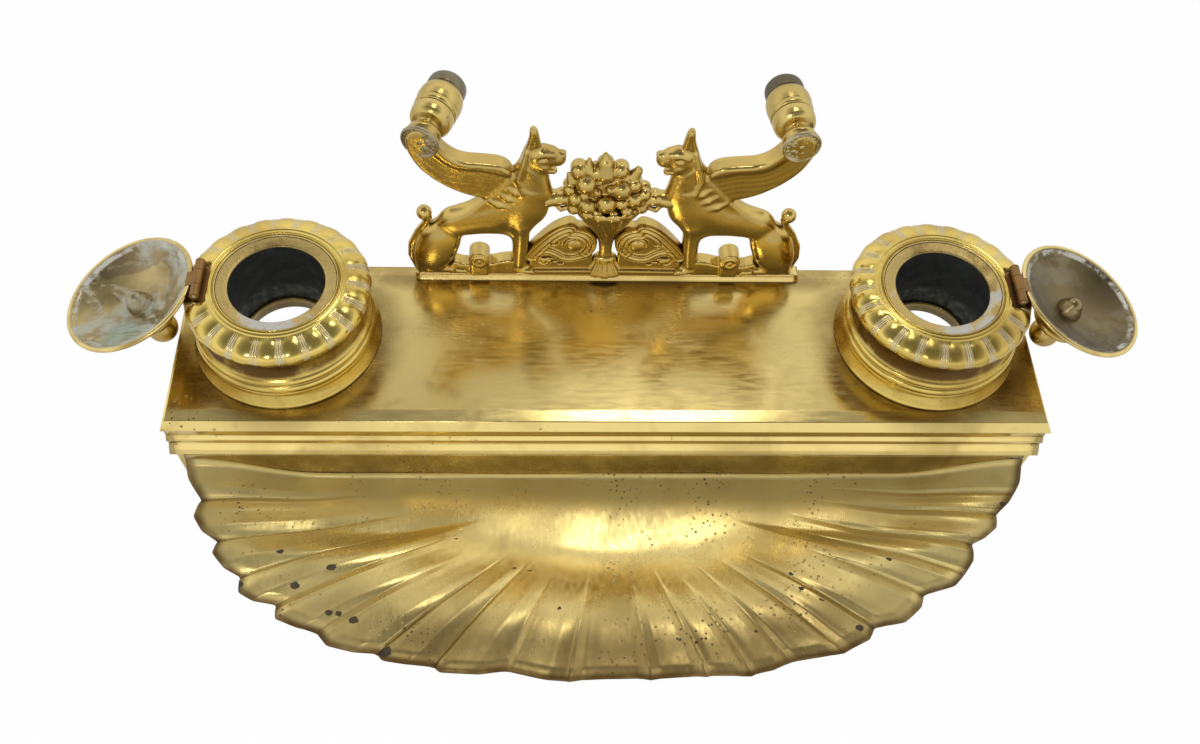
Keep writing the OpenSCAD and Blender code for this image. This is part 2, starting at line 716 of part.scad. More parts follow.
deck_plate();
front_wall();
front_moulding();
back_wall();
end_plate(-1);  // end_plate_left
end_plate(1);  // end_plate_right
shell_tray();
tray_screws();
pot_drum(-1);  // pot_drum_left
pot_drum(1);  // pot_drum_right
pot_shoulder(-1);  // pot_shoulder_left
pot_shoulder(1);  // pot_shoulder_right
well_sleeve(-1);  // well_sleeve_left
well_sleeve(1);  // well_sleeve_right
pot_screws();
hinge_leaf(-1);  // hinge_leaf_left
hinge_leaf(1);  // hinge_leaf_right
hinge_pin(-1);  // hinge_pin_left
hinge_pin(1);  // hinge_pin_right
lid(-1);  // lid_left
lid(1);  // lid_right
lid_knuckle(-1);  // lid_knuckle_left
lid_knuckle(1);  // lid_knuckle_right
finial(-1);  // finial_left
finial(1);  // finial_right
finial_nut(-1);  // finial_nut_left
finial_nut(1);  // finial_nut_right
crest_rail();
crest_screws();
griffin(-1);  // griffin_left
griffin(1);  // griffin_right
scroll(-1);  // scroll_left
scroll(1);  // scroll_right
under_scroll(-1);  // under_scroll_left
under_scroll(1);  // under_scroll_right
basket();
fruit();
rosette(-1);  // rosette_left
rosette(1);  // rosette_right
spindle_cup(-1);  // spindle_cup_left
spindle_cup(1);  // spindle_cup_right
spindle_barrel(-1);  // spindle_barrel_left
spindle_barrel(1);  // spindle_barrel_right
spindle_cap(-1);  // spindle_cap_left
spindle_cap(1);  // spindle_cap_right
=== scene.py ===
"""Looks of the desk inkstand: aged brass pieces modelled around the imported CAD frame."""
import math

import bpy
import numpy as np
from mathutils import Matrix, Vector
from mathutils.geometry import delaunay_2d_cdt


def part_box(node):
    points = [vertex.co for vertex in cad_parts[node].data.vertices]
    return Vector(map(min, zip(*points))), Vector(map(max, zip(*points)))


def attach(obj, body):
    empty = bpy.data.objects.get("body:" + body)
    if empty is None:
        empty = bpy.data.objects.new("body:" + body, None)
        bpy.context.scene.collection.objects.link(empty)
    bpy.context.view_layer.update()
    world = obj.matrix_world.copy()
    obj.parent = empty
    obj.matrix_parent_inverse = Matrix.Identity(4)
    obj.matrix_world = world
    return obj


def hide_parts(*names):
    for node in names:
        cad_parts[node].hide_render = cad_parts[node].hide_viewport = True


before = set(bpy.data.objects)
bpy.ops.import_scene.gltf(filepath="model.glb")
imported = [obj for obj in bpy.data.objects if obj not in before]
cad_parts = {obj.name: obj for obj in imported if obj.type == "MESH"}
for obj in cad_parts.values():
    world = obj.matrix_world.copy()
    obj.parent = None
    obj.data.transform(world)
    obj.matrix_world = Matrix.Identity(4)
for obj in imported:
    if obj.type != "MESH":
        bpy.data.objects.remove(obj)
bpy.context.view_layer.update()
MM = 0.001
SIDES = (("left", -1), ("right", 1))


# ------------------------------------------------------------------ places, from the frame
def box_mm(node):
    """Lowest and highest corner of a CAD node, in millimetres."""
    low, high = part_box(node)
    return np.array(low) / MM, np.array(high) / MM


DECK_LOW, DECK_HIGH = box_mm("deck_plate")
POT_LOW, POT_HIGH = box_mm("pot_drum_right")
RAIL_LOW, RAIL_HIGH = box_mm("crest_rail")
PIN_LOW, PIN_HIGH = box_mm("hinge_pin_right")
TRAY_LOW, TRAY_HIGH = box_mm("shell_tray")
DECK_TOP = DECK_HIGH[2]
FRONT_Y = DECK_LOW[1]
POT_X, POT_Y = (POT_LOW[:2] + POT_HIGH[:2]) / 2
PIN_X, PIN_Y, PIN_Z = (PIN_LOW + PIN_HIGH) / 2
CREST_Y = (RAIL_LOW[1] + RAIL_HIGH[1]) / 2
RAIL_TOP = RAIL_HIGH[2]


# ------------------------------------------------------------------ camera
# Solved from the deck's edges and the pots' circles in the 1200 x 744 photograph
CAMERA_AT = (-0.026934, -0.271831, 0.451679)
CAMERA_DOWN = math.radians(55.005)
CAMERA_YAW = math.radians(4.503)
CAMERA_ROLL = math.radians(3.933)
CAMERA_LENS = 38.774
CAMERA_SENSOR = 36
CAMERA_NEAR = 0.01


def add_camera():
    """The photograph's own camera."""
    look = Vector((math.sin(CAMERA_YAW) * math.cos(CAMERA_DOWN),
                   math.cos(CAMERA_YAW) * math.cos(CAMERA_DOWN), -math.sin(CAMERA_DOWN)))
    right = look.cross(Vector((0, 0, 1))).normalized()
    up = right.cross(look)
    turn = Matrix.Rotation(CAMERA_ROLL, 3, -look)
    right = turn @ right
    up = turn @ up
    data = bpy.data.cameras.new("camera")
    data.lens = CAMERA_LENS
    data.sensor_width = CAMERA_SENSOR
    data.clip_start = CAMERA_NEAR
    camera = bpy.data.objects.new("camera", data)
    camera.matrix_world = Matrix((
        (right.x, up.x, -look.x, CAMERA_AT[0]),
        (right.y, up.y, -look.y, CAMERA_AT[1]),
        (right.z, up.z, -look.z, CAMERA_AT[2]),
        (0, 0, 0, 1)))
    bpy.context.scene.collection.objects.link(camera)
    bpy.context.scene.camera = camera


add_camera()


# ------------------------------------------------------------------ mesh tools
def piece(name, points, faces, material, body="root", stands_for=(), marks=None):
    """One smooth mesh piece from points in millimetres; marks are per-point masks for its
    material."""
    mesh = bpy.data.meshes.new(name)
    mesh.from_pydata((np.asarray(points, float) * MM).tolist(), [], [list(f) for f in faces])
    mesh.update()
    mesh.polygons.foreach_set("use_smooth", [True] * len(mesh.polygons))
    for mark, values in (marks or {}).items():
        layer = mesh.attributes.new(mark, "FLOAT", "POINT")
        layer.data.foreach_set("value", np.asarray(values, np.float32).ravel())
    mesh.materials.append(material)
    obj = bpy.data.objects.new(name, mesh)
    bpy.context.scene.collection.objects.link(obj)
    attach(obj, body)
    if stands_for:
        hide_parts(*stands_for)
    return obj


def sheet_faces(rows, cols, wrap_cols=False, flip=False):
    """Quads over a grid of rows x cols points. The last column may join the first."""
    faces = []
    for i in range(rows - 1):
        for j in range(cols if wrap_cols else cols - 1):
            k = (j + 1) % cols
            quad = (i * cols + j, i * cols + k, (i + 1) * cols + k, (i + 1) * cols + j)
            faces.append(quad[::-1] if flip else quad)
    return faces


def bar_faces(rows, cols, flip=True):
    """Faces of a bar: the quads along a closed outline that is repeated, and the two ends."""
    ends = [tuple(range(cols)), tuple((rows - 1) * cols + i for i in reversed(range(cols)))]
    return sheet_faces(rows, cols, wrap_cols=True, flip=flip) + turned(ends, not flip)


def turned(faces, turn=True):
    """The faces wound the other way, if turn says so."""
    return [face[::-1] for face in faces] if turn else faces


def spun(profile, angles, swell=None):
    """Points of a profile of (radius, height) spun round Z, and its faces. angles is a list of
    angles or a number of even steps. swell(angle, row) moves the surface out along its normal."""
    profile = np.asarray(profile, float)
    if isinstance(angles, int):
        angles = np.linspace(0, 2 * math.pi, angles, endpoint=False)
    along = np.gradient(profile, axis=0)
    along /= np.linalg.norm(along, axis=1)[:, None] + 1e-9
    amount = swell(angles[None, :], np.arange(len(profile))[:, None]) if swell else 0 * angles
    radius = profile[:, None, 0] + along[:, None, 1] * amount
    height = profile[:, None, 1] - along[:, None, 0] * amount
    grid = np.stack([radius * np.cos(angles), radius * np.sin(angles), height], axis=2)
    return grid.reshape(-1, 3), sheet_faces(len(profile), len(angles), wrap_cols=True)


def arc(cx, cy, r, start, end, steps):
    """Points on an arc, angles in degrees."""
    angles = np.radians(np.linspace(start, end, steps))
    return [(cx + r * math.cos(a), cy + r * math.sin(a)) for a in angles]


def eased(line, radius, steps=4):
    """The open line with each inner corner rounded by about the radius."""
    line = [np.array(p, float) for p in line]
    out = [line[0]]
    for before, here, after in zip(line, line[1:], line[2:]):
        one, two = before - here, after - here
        cut = min(radius, np.linalg.norm(one) * 0.45, np.linalg.norm(two) * 0.45)
        start = here + one / (np.linalg.norm(one) + 1e-9) * cut
        end = here + two / (np.linalg.norm(two) + 1e-9) * cut
        for t in np.linspace(0, 1, steps):
            out.append((1 - t) ** 2 * start + 2 * t * (1 - t) * here + t ** 2 * end)
    out.append(line[-1])
    return np.array(out)


def smooth_step(value, low, high):
    """0 below low, 1 above high, and a smooth rise between."""
    t = np.clip((value - low) / (high - low), 0, 1)
    return t * t * (3 - 2 * t)


def placed(points, matrix):
    """Points moved by a 4 x 4 matrix in millimetres."""
    points = np.asarray(points, float)
    matrix = np.array(matrix)
    return points @ matrix[:3, :3].T + matrix[:3, 3]


def even_normals(obj):
    """Keeps flats flat between small rounded edges."""
    modifier = obj.modifiers.new("even_normals", "WEIGHTED_NORMAL")
    modifier.keep_sharp = True
    return obj


# ------------------------------------------------------------------ material tools
class Nodes:
    """A small builder of shader nodes."""

    def __init__(self, tree):
        self.tree = tree
        tree.nodes.clear()
        self.coordinates = self.node("TexCoord")
        self.place = self.coordinates.outputs["Object"]

    def node(self, kind, **settings):
        made = self.tree.nodes.new("ShaderNode" + kind)
        for key, value in settings.items():
            setattr(made, key, value)
        return made

    def put(self, socket, value):
        if isinstance(value, bpy.types.NodeSocket):
            self.tree.links.new(value, socket)
        else:
            socket.default_value = value

    def stretched(self, x, y, z):
        made = self.node("Mapping")
        self.put(made.inputs["Vector"], self.place)
        made.inputs["Scale"].default_value = (x, y, z)
        return made.outputs["Vector"]

    def noise(self, scale, detail=4.0, rough=0.55, at=None, twist=0.0):
        made = self.node("TexNoise")
        self.put(made.inputs["Vector"], at or self.place)
        for key, value in (("Scale", scale), ("Detail", detail), ("Roughness", rough),
                           ("Distortion", twist)):
            made.inputs[key].default_value = value
        return made.outputs["Fac"]

    def cells(self, scale):
        made = self.node("TexVoronoi")
        self.put(made.inputs["Vector"], self.place)
        made.inputs["Scale"].default_value = scale
        return made.outputs["Distance"]

    def span(self, value, low, high, to_low=0.0, to_high=1.0):
        made = self.node("MapRange", interpolation_type="SMOOTHSTEP")
        self.put(made.inputs["Value"], value)
        for key, number in (("From Min", low), ("From Max", high), ("To Min", to_low),
                            ("To Max", to_high)):
            made.inputs[key].default_value = number
        return made.outputs["Result"]

    def maths(self, operation, a, b):
        made = self.node("Math", operation=operation)
        self.put(made.inputs[0], a)
        self.put(made.inputs[1], b)
        return made.outputs[0]

    def times(self, a, b):
        return self.maths("MULTIPLY", a, b)

    def plus(self, a, b):
        return self.maths("ADD", a, b)

    def most(self, a, b):
        return self.maths("MAXIMUM", a, b)

    def one_less(self, value):
        return self.maths("SUBTRACT", 1.0, value)

    def blend(self, amount, first, second):
        made = self.node("MixRGB")
        self.put(made.inputs["Fac"], amount)
        for key, value in (("Color1", first), ("Color2", second)):
            self.put(made.inputs[key], value if isinstance(value, bpy.types.NodeSocket)
                     else (*value, 1.0))
        return made.outputs["Color"]

    def mark(self, name):
        return self.node("Attribute", attribute_name=name).outputs["Fac"]

    def hollow(self, reach_mm):
        """1 in creases narrower than about the reach, 0 in the open."""
        made = self.node("AmbientOcclusion", samples=6)
        made.inputs["Distance"].default_value = reach_mm * MM
        return self.one_less(made.outputs["AO"])

    def bump(self, height, depth_mm, strength=1.0, normal=None):
        made = self.node("Bump")
        self.put(made.inputs["Height"], height)
        made.inputs["Distance"].default_value = depth_mm * MM
        made.inputs["Strength"].default_value = strength
        if normal is not None:
            self.put(made.inputs["Normal"], normal)
        return made.outputs["Normal"]


class Paint(Nodes):
    """A material made of nodes."""

    def __init__(self, name):
        self.material = bpy.data.materials.new(name)
        self.material.use_nodes = True
        super().__init__(self.material.node_tree)

    def finish(self, color, metal, rough, normal=None):
        shader = self.node("BsdfPrincipled")
        self.put(shader.inputs["Base Color"], color)
        self.put(shader.inputs["Metallic"], metal)
        self.put(shader.inputs["Roughness"], rough)
        if normal is not None:
            self.put(shader.inputs["Normal"], normal)
        self.put(self.node("OutputMaterial").inputs["Surface"], shader.outputs["BSDF"])
        return self.material


BRIGHT = (0.80, 0.625, 0.235)
OLIVE = (0.50, 0.36, 0.11)
BROWN = (0.30, 0.17, 0.05)
SOOT = (0.035, 0.026, 0.015)
CHALK = (0.64, 0.62, 0.54)
FILM_AND_SHEEN = (0.56, 0.46, 0.175)
PALE = (0.56, 0.45, 0.19)
WORN = (0.27, 0.18, 0.06)
# Dark brown for soiling and for painted shade.
GRIME_AND_SHADE = (0.125, 0.07, 0.02)
CREASE_DIRT_AND_SHADE = (0.10, 0.06, 0.02)


def brass(name, age=0.4, rough=0.22, creases=2.5, crease_dark=0.8, pits=0.0, wavy=0.25,
          chalk=None, bright=BRIGHT, patina=OLIVE, grain=(1, 1, 1), stains=None, grime_and_shade=None,
          worn=None, film_and_sheen=None, detail=5):
    """Polished old brass: olive and brown blotches, creases darkened partly by real soiling and
    partly as painted shade, fine scratches, optional casting pits, and what the named marks say: a
    pale dry deposit, dark brown soiling with painted shade, stains, a duller browner skin, and a pale
    satin coat that is in places a painted sheen."""
    p = Paint(name)
    blotch = p.span(p.noise(26, detail, 0.60, twist=0.6), 0.50 - 0.16 * age, 0.78 - 0.16 * age)
    stain = p.span(p.noise(62, detail - 1, 0.6, twist=0.4), 0.58 - 0.1 * age, 0.80)
    fine = p.noise(700, 3, 0.6, at=p.stretched(*grain))
    color = p.blend(p.times(blotch, age), bright, patina)
    color = p.blend(p.times(stain, age * 0.7), color, BROWN)
    metal = 1.0
    dull = p.span(fine, 0.3, 0.7, rough - 0.04, rough + 0.05)
    dull = p.plus(dull, p.times(blotch, 0.12))
    if worn:
        skin = p.times(p.mark(worn), p.span(p.noise(44, 4, 0.6), 0.25, 0.60, 0.45, 1.0))
        color = p.blend(p.times(skin, 0.85), color, WORN)
        dull = p.plus(dull, p.times(skin, 0.16))
    # A pale, less metallic satin coat; at the tray's far ends it is raised to stand in for the ribs'
    # bright reflections, a painted sheen.
    if film_and_sheen:
        coat_and_sheen = p.times(p.mark(film_and_sheen), p.span(p.noise(38, 4, 0.6), 0.25, 0.65, 0.55, 1.0))
        color = p.blend(coat_and_sheen, color, FILM_AND_SHEEN)
        metal = p.one_less(p.times(coat_and_sheen, 0.75))
        dull = p.plus(dull, p.times(coat_and_sheen, 0.22))
    normal = p.bump(p.noise(60, 3, 0.5), 0.6, wavy)
    normal = p.bump(fine, 0.012, 0.3, normal)
    # Dark brown through this mark: real soiling in some places, painted shade in recesses, under
    # overhangs and along shaded edges in others.
    if grime_and_shade:
        where = grime_and_shade(p) if callable(grime_and_shade) else p.mark(grime_and_shade)
        dirt_and_shade = p.times(where, p.span(p.noise(75, 5, 0.6), 0.22, 0.60, 0.35, 1.0))
        color = p.blend(dirt_and_shade, color, GRIME_AND_SHADE)
        dull = p.plus(dull, p.times(dirt_and_shade, 0.12))
    # Creases darkened from an occlusion pass: partly crevice soiling, partly painted shade in
    # creases, recesses and where parts meet.
    if creases:
        deep = p.span(p.hollow(creases), 0.25, 0.75)
        color = p.blend(p.times(deep, crease_dark), color, CREASE_DIRT_AND_SHADE)
        dull = p.plus(dull, p.times(deep, 0.25))
    if pits:
        zone = p.span(p.noise(34, 3, 0.6), 0.62 - 0.14 * pits, 0.72)
        small = p.times(p.span(p.cells(420), 0.16, 0.24, 1, 0), zone)
        pit = small
        if stains:
            ragged = p.plus(p.mark(stains), p.noise(330, 4, 0.7, twist=0.5))
            pit = p.most(small, p.span(ragged, 0.98, 1.12))
        color = p.blend(p.times(pit, 0.93), color, SOOT)
        dull = p.most(dull, p.times(pit, 0.7))
        metal = p.times(metal, p.one_less(p.times(pit, 0.8)))
        normal = p.bump(p.one_less(pit), 0.25, 0.8, normal)
    if chalk:
        dry = p.times(p.mark(chalk), p.span(p.noise(240, 4, 0.7), 0.30, 0.56))
        color = p.blend(dry, color, CHALK)
        metal = p.times(metal, p.one_less(dry))
        dull = p.most(dull, p.times(dry, 0.8))
    return p.finish(color, metal, dull, normal)


def deck_darkening(p):
    """Darker brown on the deck in rings round the pots' feet and in a band along the crest."""
    split = p.node("SeparateXYZ")
    p.put(split.inputs[0], p.place)
    x, y = split.outputs["X"], split.outputs["Y"]
    aside = p.maths("ABSOLUTE", p.maths("SUBTRACT", y, CREST_Y * MM), 0.0)
    darkening = p.span(aside, 4 * MM, 12 * MM, 0.6, 0.0)
    for _, side in SIDES:
        dx = p.maths("SUBTRACT", x, side * POT_X * MM)
        dy = p.maths("SUBTRACT", y, POT_Y * MM)
        away = p.maths("POWER", p.plus(p.times(dx, dx), p.times(dy, dy)), 0.5)
        darkening = p.most(darkening, p.span(away, 36 * MM, 50 * MM, 0.65, 0.0))
    return darkening


# The deck's crease pass darkens it where it meets the pots, the crest and the moulding: painted
# shade.
DECK = brass("deck_brass", age=0.42, rough=0.17, creases=4, crease_dark=0.5, wavy=0.08, pits=0.12,
             patina=PALE, grain=(0.15, 1, 1), detail=3, grime_and_shade=deck_darkening)
MOULDING = brass("moulding_brass", age=0.5, rough=0.16, creases=1.6, crease_dark=0.7, wavy=0.08,
                 pits=0.3, grain=(0.1, 1, 1), detail=3)
PLAIN = brass("plain_brass", age=0.8, rough=0.34, creases=0, wavy=0.2, pits=0.3,
              bright=(0.62, 0.48, 0.18))
SHELL = brass("shell_brass", age=0.6, rough=0.19, creases=2.0, crease_dark=0.55, pits=1.0, wavy=0.18,
              patina=PALE, grain=(1, 0.3, 1), stains="stain", worn="worn",
              grime_and_shade="grime_and_shade", film_and_sheen="film_and_sheen", detail=4)
POT = brass("pot_brass", age=0.75, rough=0.17, creases=1.6, wavy=0.10, chalk="chalk", grime_and_shade="grime_and_shade",
            bright=(0.72, 0.545, 0.145), patina=(0.42, 0.28, 0.06), detail=4)
LID = brass("lid_outside_brass", age=0.8, rough=0.22, creases=2, wavy=0.15, bright=(0.55, 0.40, 0.14))
CREST = brass("crest_brass", age=0.8, rough=0.17, creases=1.7, crease_dark=0.9, wavy=0.12,
              bright=(0.57, 0.41, 0.125), detail=3)
RAIL = brass("rail_brass", age=0.6, rough=0.22, creases=1.5, crease_dark=0.9, wavy=0.2,
             bright=(0.76, 0.58, 0.22))
SPINDLE = brass("spindle_brass", age=0.8, rough=0.24, creases=1.6, wavy=0.2,
                bright=(0.58, 0.44, 0.145))
CAP = brass("cap_brass", age=0.9, rough=0.30, creases=1.5, wavy=0.3, bright=(0.21, 0.18, 0.115),
            patina=(0.13, 0.11, 0.07))
# The rosette's creases are darkened almost fully: painted shade that brings out its relief.
ROSETTE = brass("rosette_brass", age=0.9, rough=0.32, creases=1.3, crease_dark=0.95, wavy=0.2,
                bright=(0.52, 0.44, 0.24), patina=(0.34, 0.29, 0.18))
STEEL = brass("screw_steel", age=0.2, rough=0.35, creases=0, bright=(0.5, 0.5, 0.5))
COPPER = brass("hinge_copper", age=0.9, rough=0.34, creases=2.0, crease_dark=0.95, wavy=0.3,
               bright=(0.30, 0.165, 0.055), patina=(0.14, 0.08, 0.03))


# ------------------------------------------------------------------ base
def add_deck():
    """Deck plate: a flat top with the well holes, a gentle bevel and a steep one below it."""
    bevel_w, bevel_h = 7.0, 0.62
    steep_w = 2.1
    edge = eased([(0.3, DECK_LOW[2]), (0, DECK_LOW[2] + 0.3), (0.05, DECK_LOW[2] + 0.6),
                  (steep_w, DECK_TOP - bevel_h), (bevel_w, DECK_TOP), (bevel_w + 0.7, DECK_TOP),
                  (bevel_w + 2, DECK_TOP)], 0.4)
    corners = [(DECK_LOW[0], DECK_LOW[1]), (DECK_HIGH[0], DECK_LOW[1]),
               (DECK_HIGH[0], DECK_HIGH[1]), (DECK_LOW[0], DECK_HIGH[1])]
    signs = [(1, 1), (-1, 1), (-1, -1), (1, -1)]
    points = [(x + sx * inset, y + sy * inset, z) for inset, z in edge
              for (x, y), (sx, sy) in zip(corners, signs)]
    faces = sheet_faces(len(edge), 4, wrap_cols=True)
    hole_r, margin, chamfer = 16.8, 0.9, 0.3
    count = 96
    rims = []
    for z, r in ((DECK_TOP, hole_r + margin), (DECK_LOW[2], hole_r), (DECK_TOP, hole_r + chamfer),
                 (DECK_TOP - chamfer, hole_r)):
        for _, side in SIDES:
            start = len(points)
            points += [(side * POT_X + r * math.cos(a), POT_Y + r * math.sin(a), z)
                       for a in np.linspace(0, 2 * math.pi, count, endpoint=False)]
            rims.append(range(start, start + count))
    top = list(range(len(edge) * 4 - 4, len(edge) * 4))
    low = list(range(4))
    for outer, holes, up in ((top, rims[:2], True), (low, rims[2:4], False)):
        ids = list(outer) + [i for hole in holes for i in hole]
        flat = [Vector(points[i][:2]) for i in ids]
        at = {i: n for n, i in enumerate(ids)}
        edges = [(at[a], at[b]) for loop in [outer] + [list(h) for h in holes]
                 for a, b in zip(loop, loop[1:] + loop[:1])]
        _, _, made, _, _, _ = delaunay_2d_cdt(flat, edges, [], 0, 1e-6)
        for face in made:
            middle = sum((flat[i] for i in face), Vector((0, 0))) / len(face)
            around = hole_r + (margin if up else 0) - 0.01
            if any((middle - Vector((side * POT_X, POT_Y))).length < around for _, side in SIDES):
                continue
            tri = [ids[i] for i in face]
            a, b, c = (Vector(points[i][:2]) for i in tri[:3])
            faces_up = (b - a).cross(c - a) > 0
            faces.append(tuple(tri if faces_up == up else tri[::-1]))
    for upper, lower in zip(rims[:2] + rims[4:6] + rims[6:], rims[4:6] + rims[6:] + rims[2:4]):
        for j in range(count):
            k = (j + 1) % count
            faces.append((upper[j], upper[k], lower[k], lower[j]))
    even_normals(piece("deck", points, faces, DECK, stands_for=("deck_plate",)))


def add_front():
    """Moulding strip: bevel, hollow groove and fillet, drawn along X with a slight bow so that
    its reflections bend a little."""
    low, high = box_mm("front_moulding")
    z_top, z_low = DECK_LOW[2], low[2]
    depth = high[1] - FRONT_Y
    line = [(depth, z_low), (0.15, z_low), (0.0, z_low + 0.4), (0.9, z_low + 2.2),
            (2.3, z_low + 3.9), (2.75, z_low + 4.3), (2.8, z_low + 5.6)]
    line += arc(3.1, z_low + 7.4, 1.5, 235, 130, 6)
    line += [(2.9, z_low + 9.6), (2.6, z_top - 2.4), (1.4, z_top), (depth, z_top)]
    outline = eased(line, 0.25, 3)
    xs = np.linspace(-DECK_HIGH[0], DECK_HIGH[0], 61)
    bow = 0.05 * np.sin(xs / 41.0) + 0.03 * np.sin(xs / 13.0 + 1.0)
    points = [(x, FRONT_Y + y, z + b) for x, b in zip(xs, bow) for y, z in outline]
    even_normals(piece("front_moulding_strip", points, bar_faces(len(xs), len(outline)), MOULDING,
                       stands_for=("front_moulding",)))


def keep(node, material):
    """A CAD node that keeps its shape and takes a material."""
    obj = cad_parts[node]
    obj.data.materials.clear()
    obj.data.materials.append(material)


def add_end_plates():
    """Ends of the base: upright above, leaning in below, with softened edges."""
    for name, side in SIDES:
        low, high = box_mm("end_plate_" + name)
        outer = high[0] if side > 0 else -low[0]
        inner = low[0] if side > 0 else -high[0]
        lean = 2.0
        line = eased([(inner, low[2]), (outer - lean, low[2]), (outer - lean + 0.15, low[2] + 0.4),
                      (outer, low[2] + 24.5), (outer, high[2]), (inner, high[2])], 0.5, 4)
        front = box_mm("front_moulding")[1][1]
        ys = [front, front + 0.25, front + 0.8, high[1] - 0.8, high[1] - 0.25, high[1]]
        trim = [0.6, 0.2, 0, 0, 0.2, 0.6]
        points = []
        for y, cut in zip(ys, trim):
            points += [(side * (x - (cut if x > inner + 1 else 0)), y, z) for x, z in line]
        faces = bar_faces(len(ys), len(line), flip=side > 0)
        even_normals(piece("end_plate_face_" + name, points, faces, MOULDING,
                           stands_for=("end_plate_" + name,)))


# ------------------------------------------------------------------ shell tray
TRAY_FLOOR = TRAY_LOW[2] + 2.4
TRAY_T = 2.2
DISH_H = 6.4
RIB_H = 1.75
RIM_X = 165.0
RIM_Y = 87.0
RIM_SQUARE = 2.35
CORNER_R = 1.9           # where the floor turns up into the base's front
# The wavy rim from the right end round: angle, and reach as a share of the full outline
RIM = [(-2, 1.0), (3.1, 0.99), (8.3, 0.96), (11.5, 0.935), (15.7, 0.94), (19.6, 0.92), (21.6, 0.9),
       (26.9, 0.925), (35.2, 0.935), (40.5, 0.90), (44.2, 0.93), (49.5, 0.95), (54.1, 0.925),
       (57.4, 0.965), (63.3, 0.985), (70.3, 0.975), (73, 1.0), (77.1, 1.01), (81.3, 0.995), (90, 1.0),
       (96, 1.005), (101.4, 0.97), (104, 1.0), (108.6, 1.01), (110.1, 0.985), (113, 1.0),
       (116.6, 1.005), (118.4, 0.98), (121, 1.0), (125.3, 1.005), (129, 0.972), (132, 0.985),
       (136.1, 0.99), (139.7, 0.948), (142.5, 0.98), (145.8, 0.985), (149.9, 0.95), (153, 0.967),
       (157.7, 0.97), (160.8, 0.945), (164, 0.97), (168.4, 0.98), (173, 0.96), (177.7, 0.99),
       (182, 1.0)]
# Dark round stains: place from the middle of the front edge, and radius
STAINS = [(-118, -51, 2.1), (-105, -44, 2.3), (-104.5, -62, 1.7), (-101, -62, 1.5), (-95, -65, 2.3),
          (-83, -77, 3.0), (91, -69, 1.9), (71, -53, 1.4), (78, -58, 1.0), (-125, -37, 1.7),
          (-139, -50, 2.2), (-60, -29, 0.9), (155, -17, 1.4), (106, -41, 1.2), (68, -46, 1.1),
          (-37, -42, 0.9), (-31, -43, 1.1), (-20, -60, 1.0), (30, -74, 1.1), (52, -70, 0.9)]
# Valleys between the ribs
VALLEYS = [-3, 5.5, 11.5, 21.6, 31, 40.5, 54.1, 62.5, 70.3, 76, 81.3, 87, 94, 101.4, 110.1, 118.4,
           129, 139.7, 149.9, 160.8, 173, 183]


def tray_surface(share, angle):
    """Height map of the shell: share is 0 at the hub and 1 at the rim, angle in degrees."""
    fine = np.linspace(RIM[0][0], RIM[-1][0], 1473)
    rim = np.interp(fine, *zip(*RIM))
    soft = np.convolve(np.pad(rim, 5, mode="edge"), np.hanning(13)[1:-1] / np.hanning(13).sum(),
                       mode="valid")
    valleys = np.array(VALLEYS, float)
    which = np.clip(np.searchsorted(valleys, angle) - 1, 0, len(valleys) - 2)
    low, high = valleys[which], valleys[which + 1]
    across = 2 * (angle - low) / (high - low) - 1
    uneven = 1 + 0.30 * np.sin(which * 2.4)
    start = 0.50 + 0.06 * np.sin(which * 1.7)
    grow = smooth_step(share, start, start + 0.42)
    skewed = across + 0.22 * np.sin(which * 1.3) * (1 - across ** 2)
    crest = (1 - np.abs(skewed) ** 3.4 + 0.14 * np.exp(-((skewed - 0.74) / 0.09) ** 2)
             + 0.10 * np.exp(-((skewed + 0.45) / 0.14) ** 2))
    cos, sin = np.cos(np.radians(angle)), np.abs(np.sin(np.radians(angle)))
    reach = 1 + (np.interp(angle, fine, soft) - 1) * smooth_step(share, 0.35, 1.0)
    x = share * reach * RIM_X * np.sign(cos) * np.abs(cos) ** (2 / RIM_SQUARE)
    y = -share * reach * RIM_Y * sin ** (2 / RIM_SQUARE)
    far = smooth_step(np.abs(cos), 0.80, 0.96)
    dish = DISH_H * smooth_step(share, 0.36 + 0.34 * far, 0.80 + 0.20 * far) \
        + 0.7 * smooth_step(share, 0.4, 0.9) \
        - (1 - far) * (0.7 * smooth_step(share, 0.80, 0.95) + 1.3 * smooth_step(share, 0.955, 1.01))
    ribs = RIB_H * grow * (crest - 0.66) * uneven
    ripple = 0.20 * np.sin(x / 13 + y / 17) + 0.12 * np.sin(x / 7.3 - y / 11 + 1)
    rest = dish + np.maximum(ribs, -0.7 * dish) + ripple * smooth_step(share, 0.15, 0.4)
    inside = np.clip(1 + y / CORNER_R, 0, 1)
    corner = CORNER_R * (1 - np.sqrt(np.clip(1 - inside ** 2, 0, 1)))
    sides = smooth_step(np.abs(x), 120, 162) * np.clip(1 + y / 16, 0, 1) ** 2 * 4.0
    return x, y, TRAY_FLOOR + rest + corner + sides


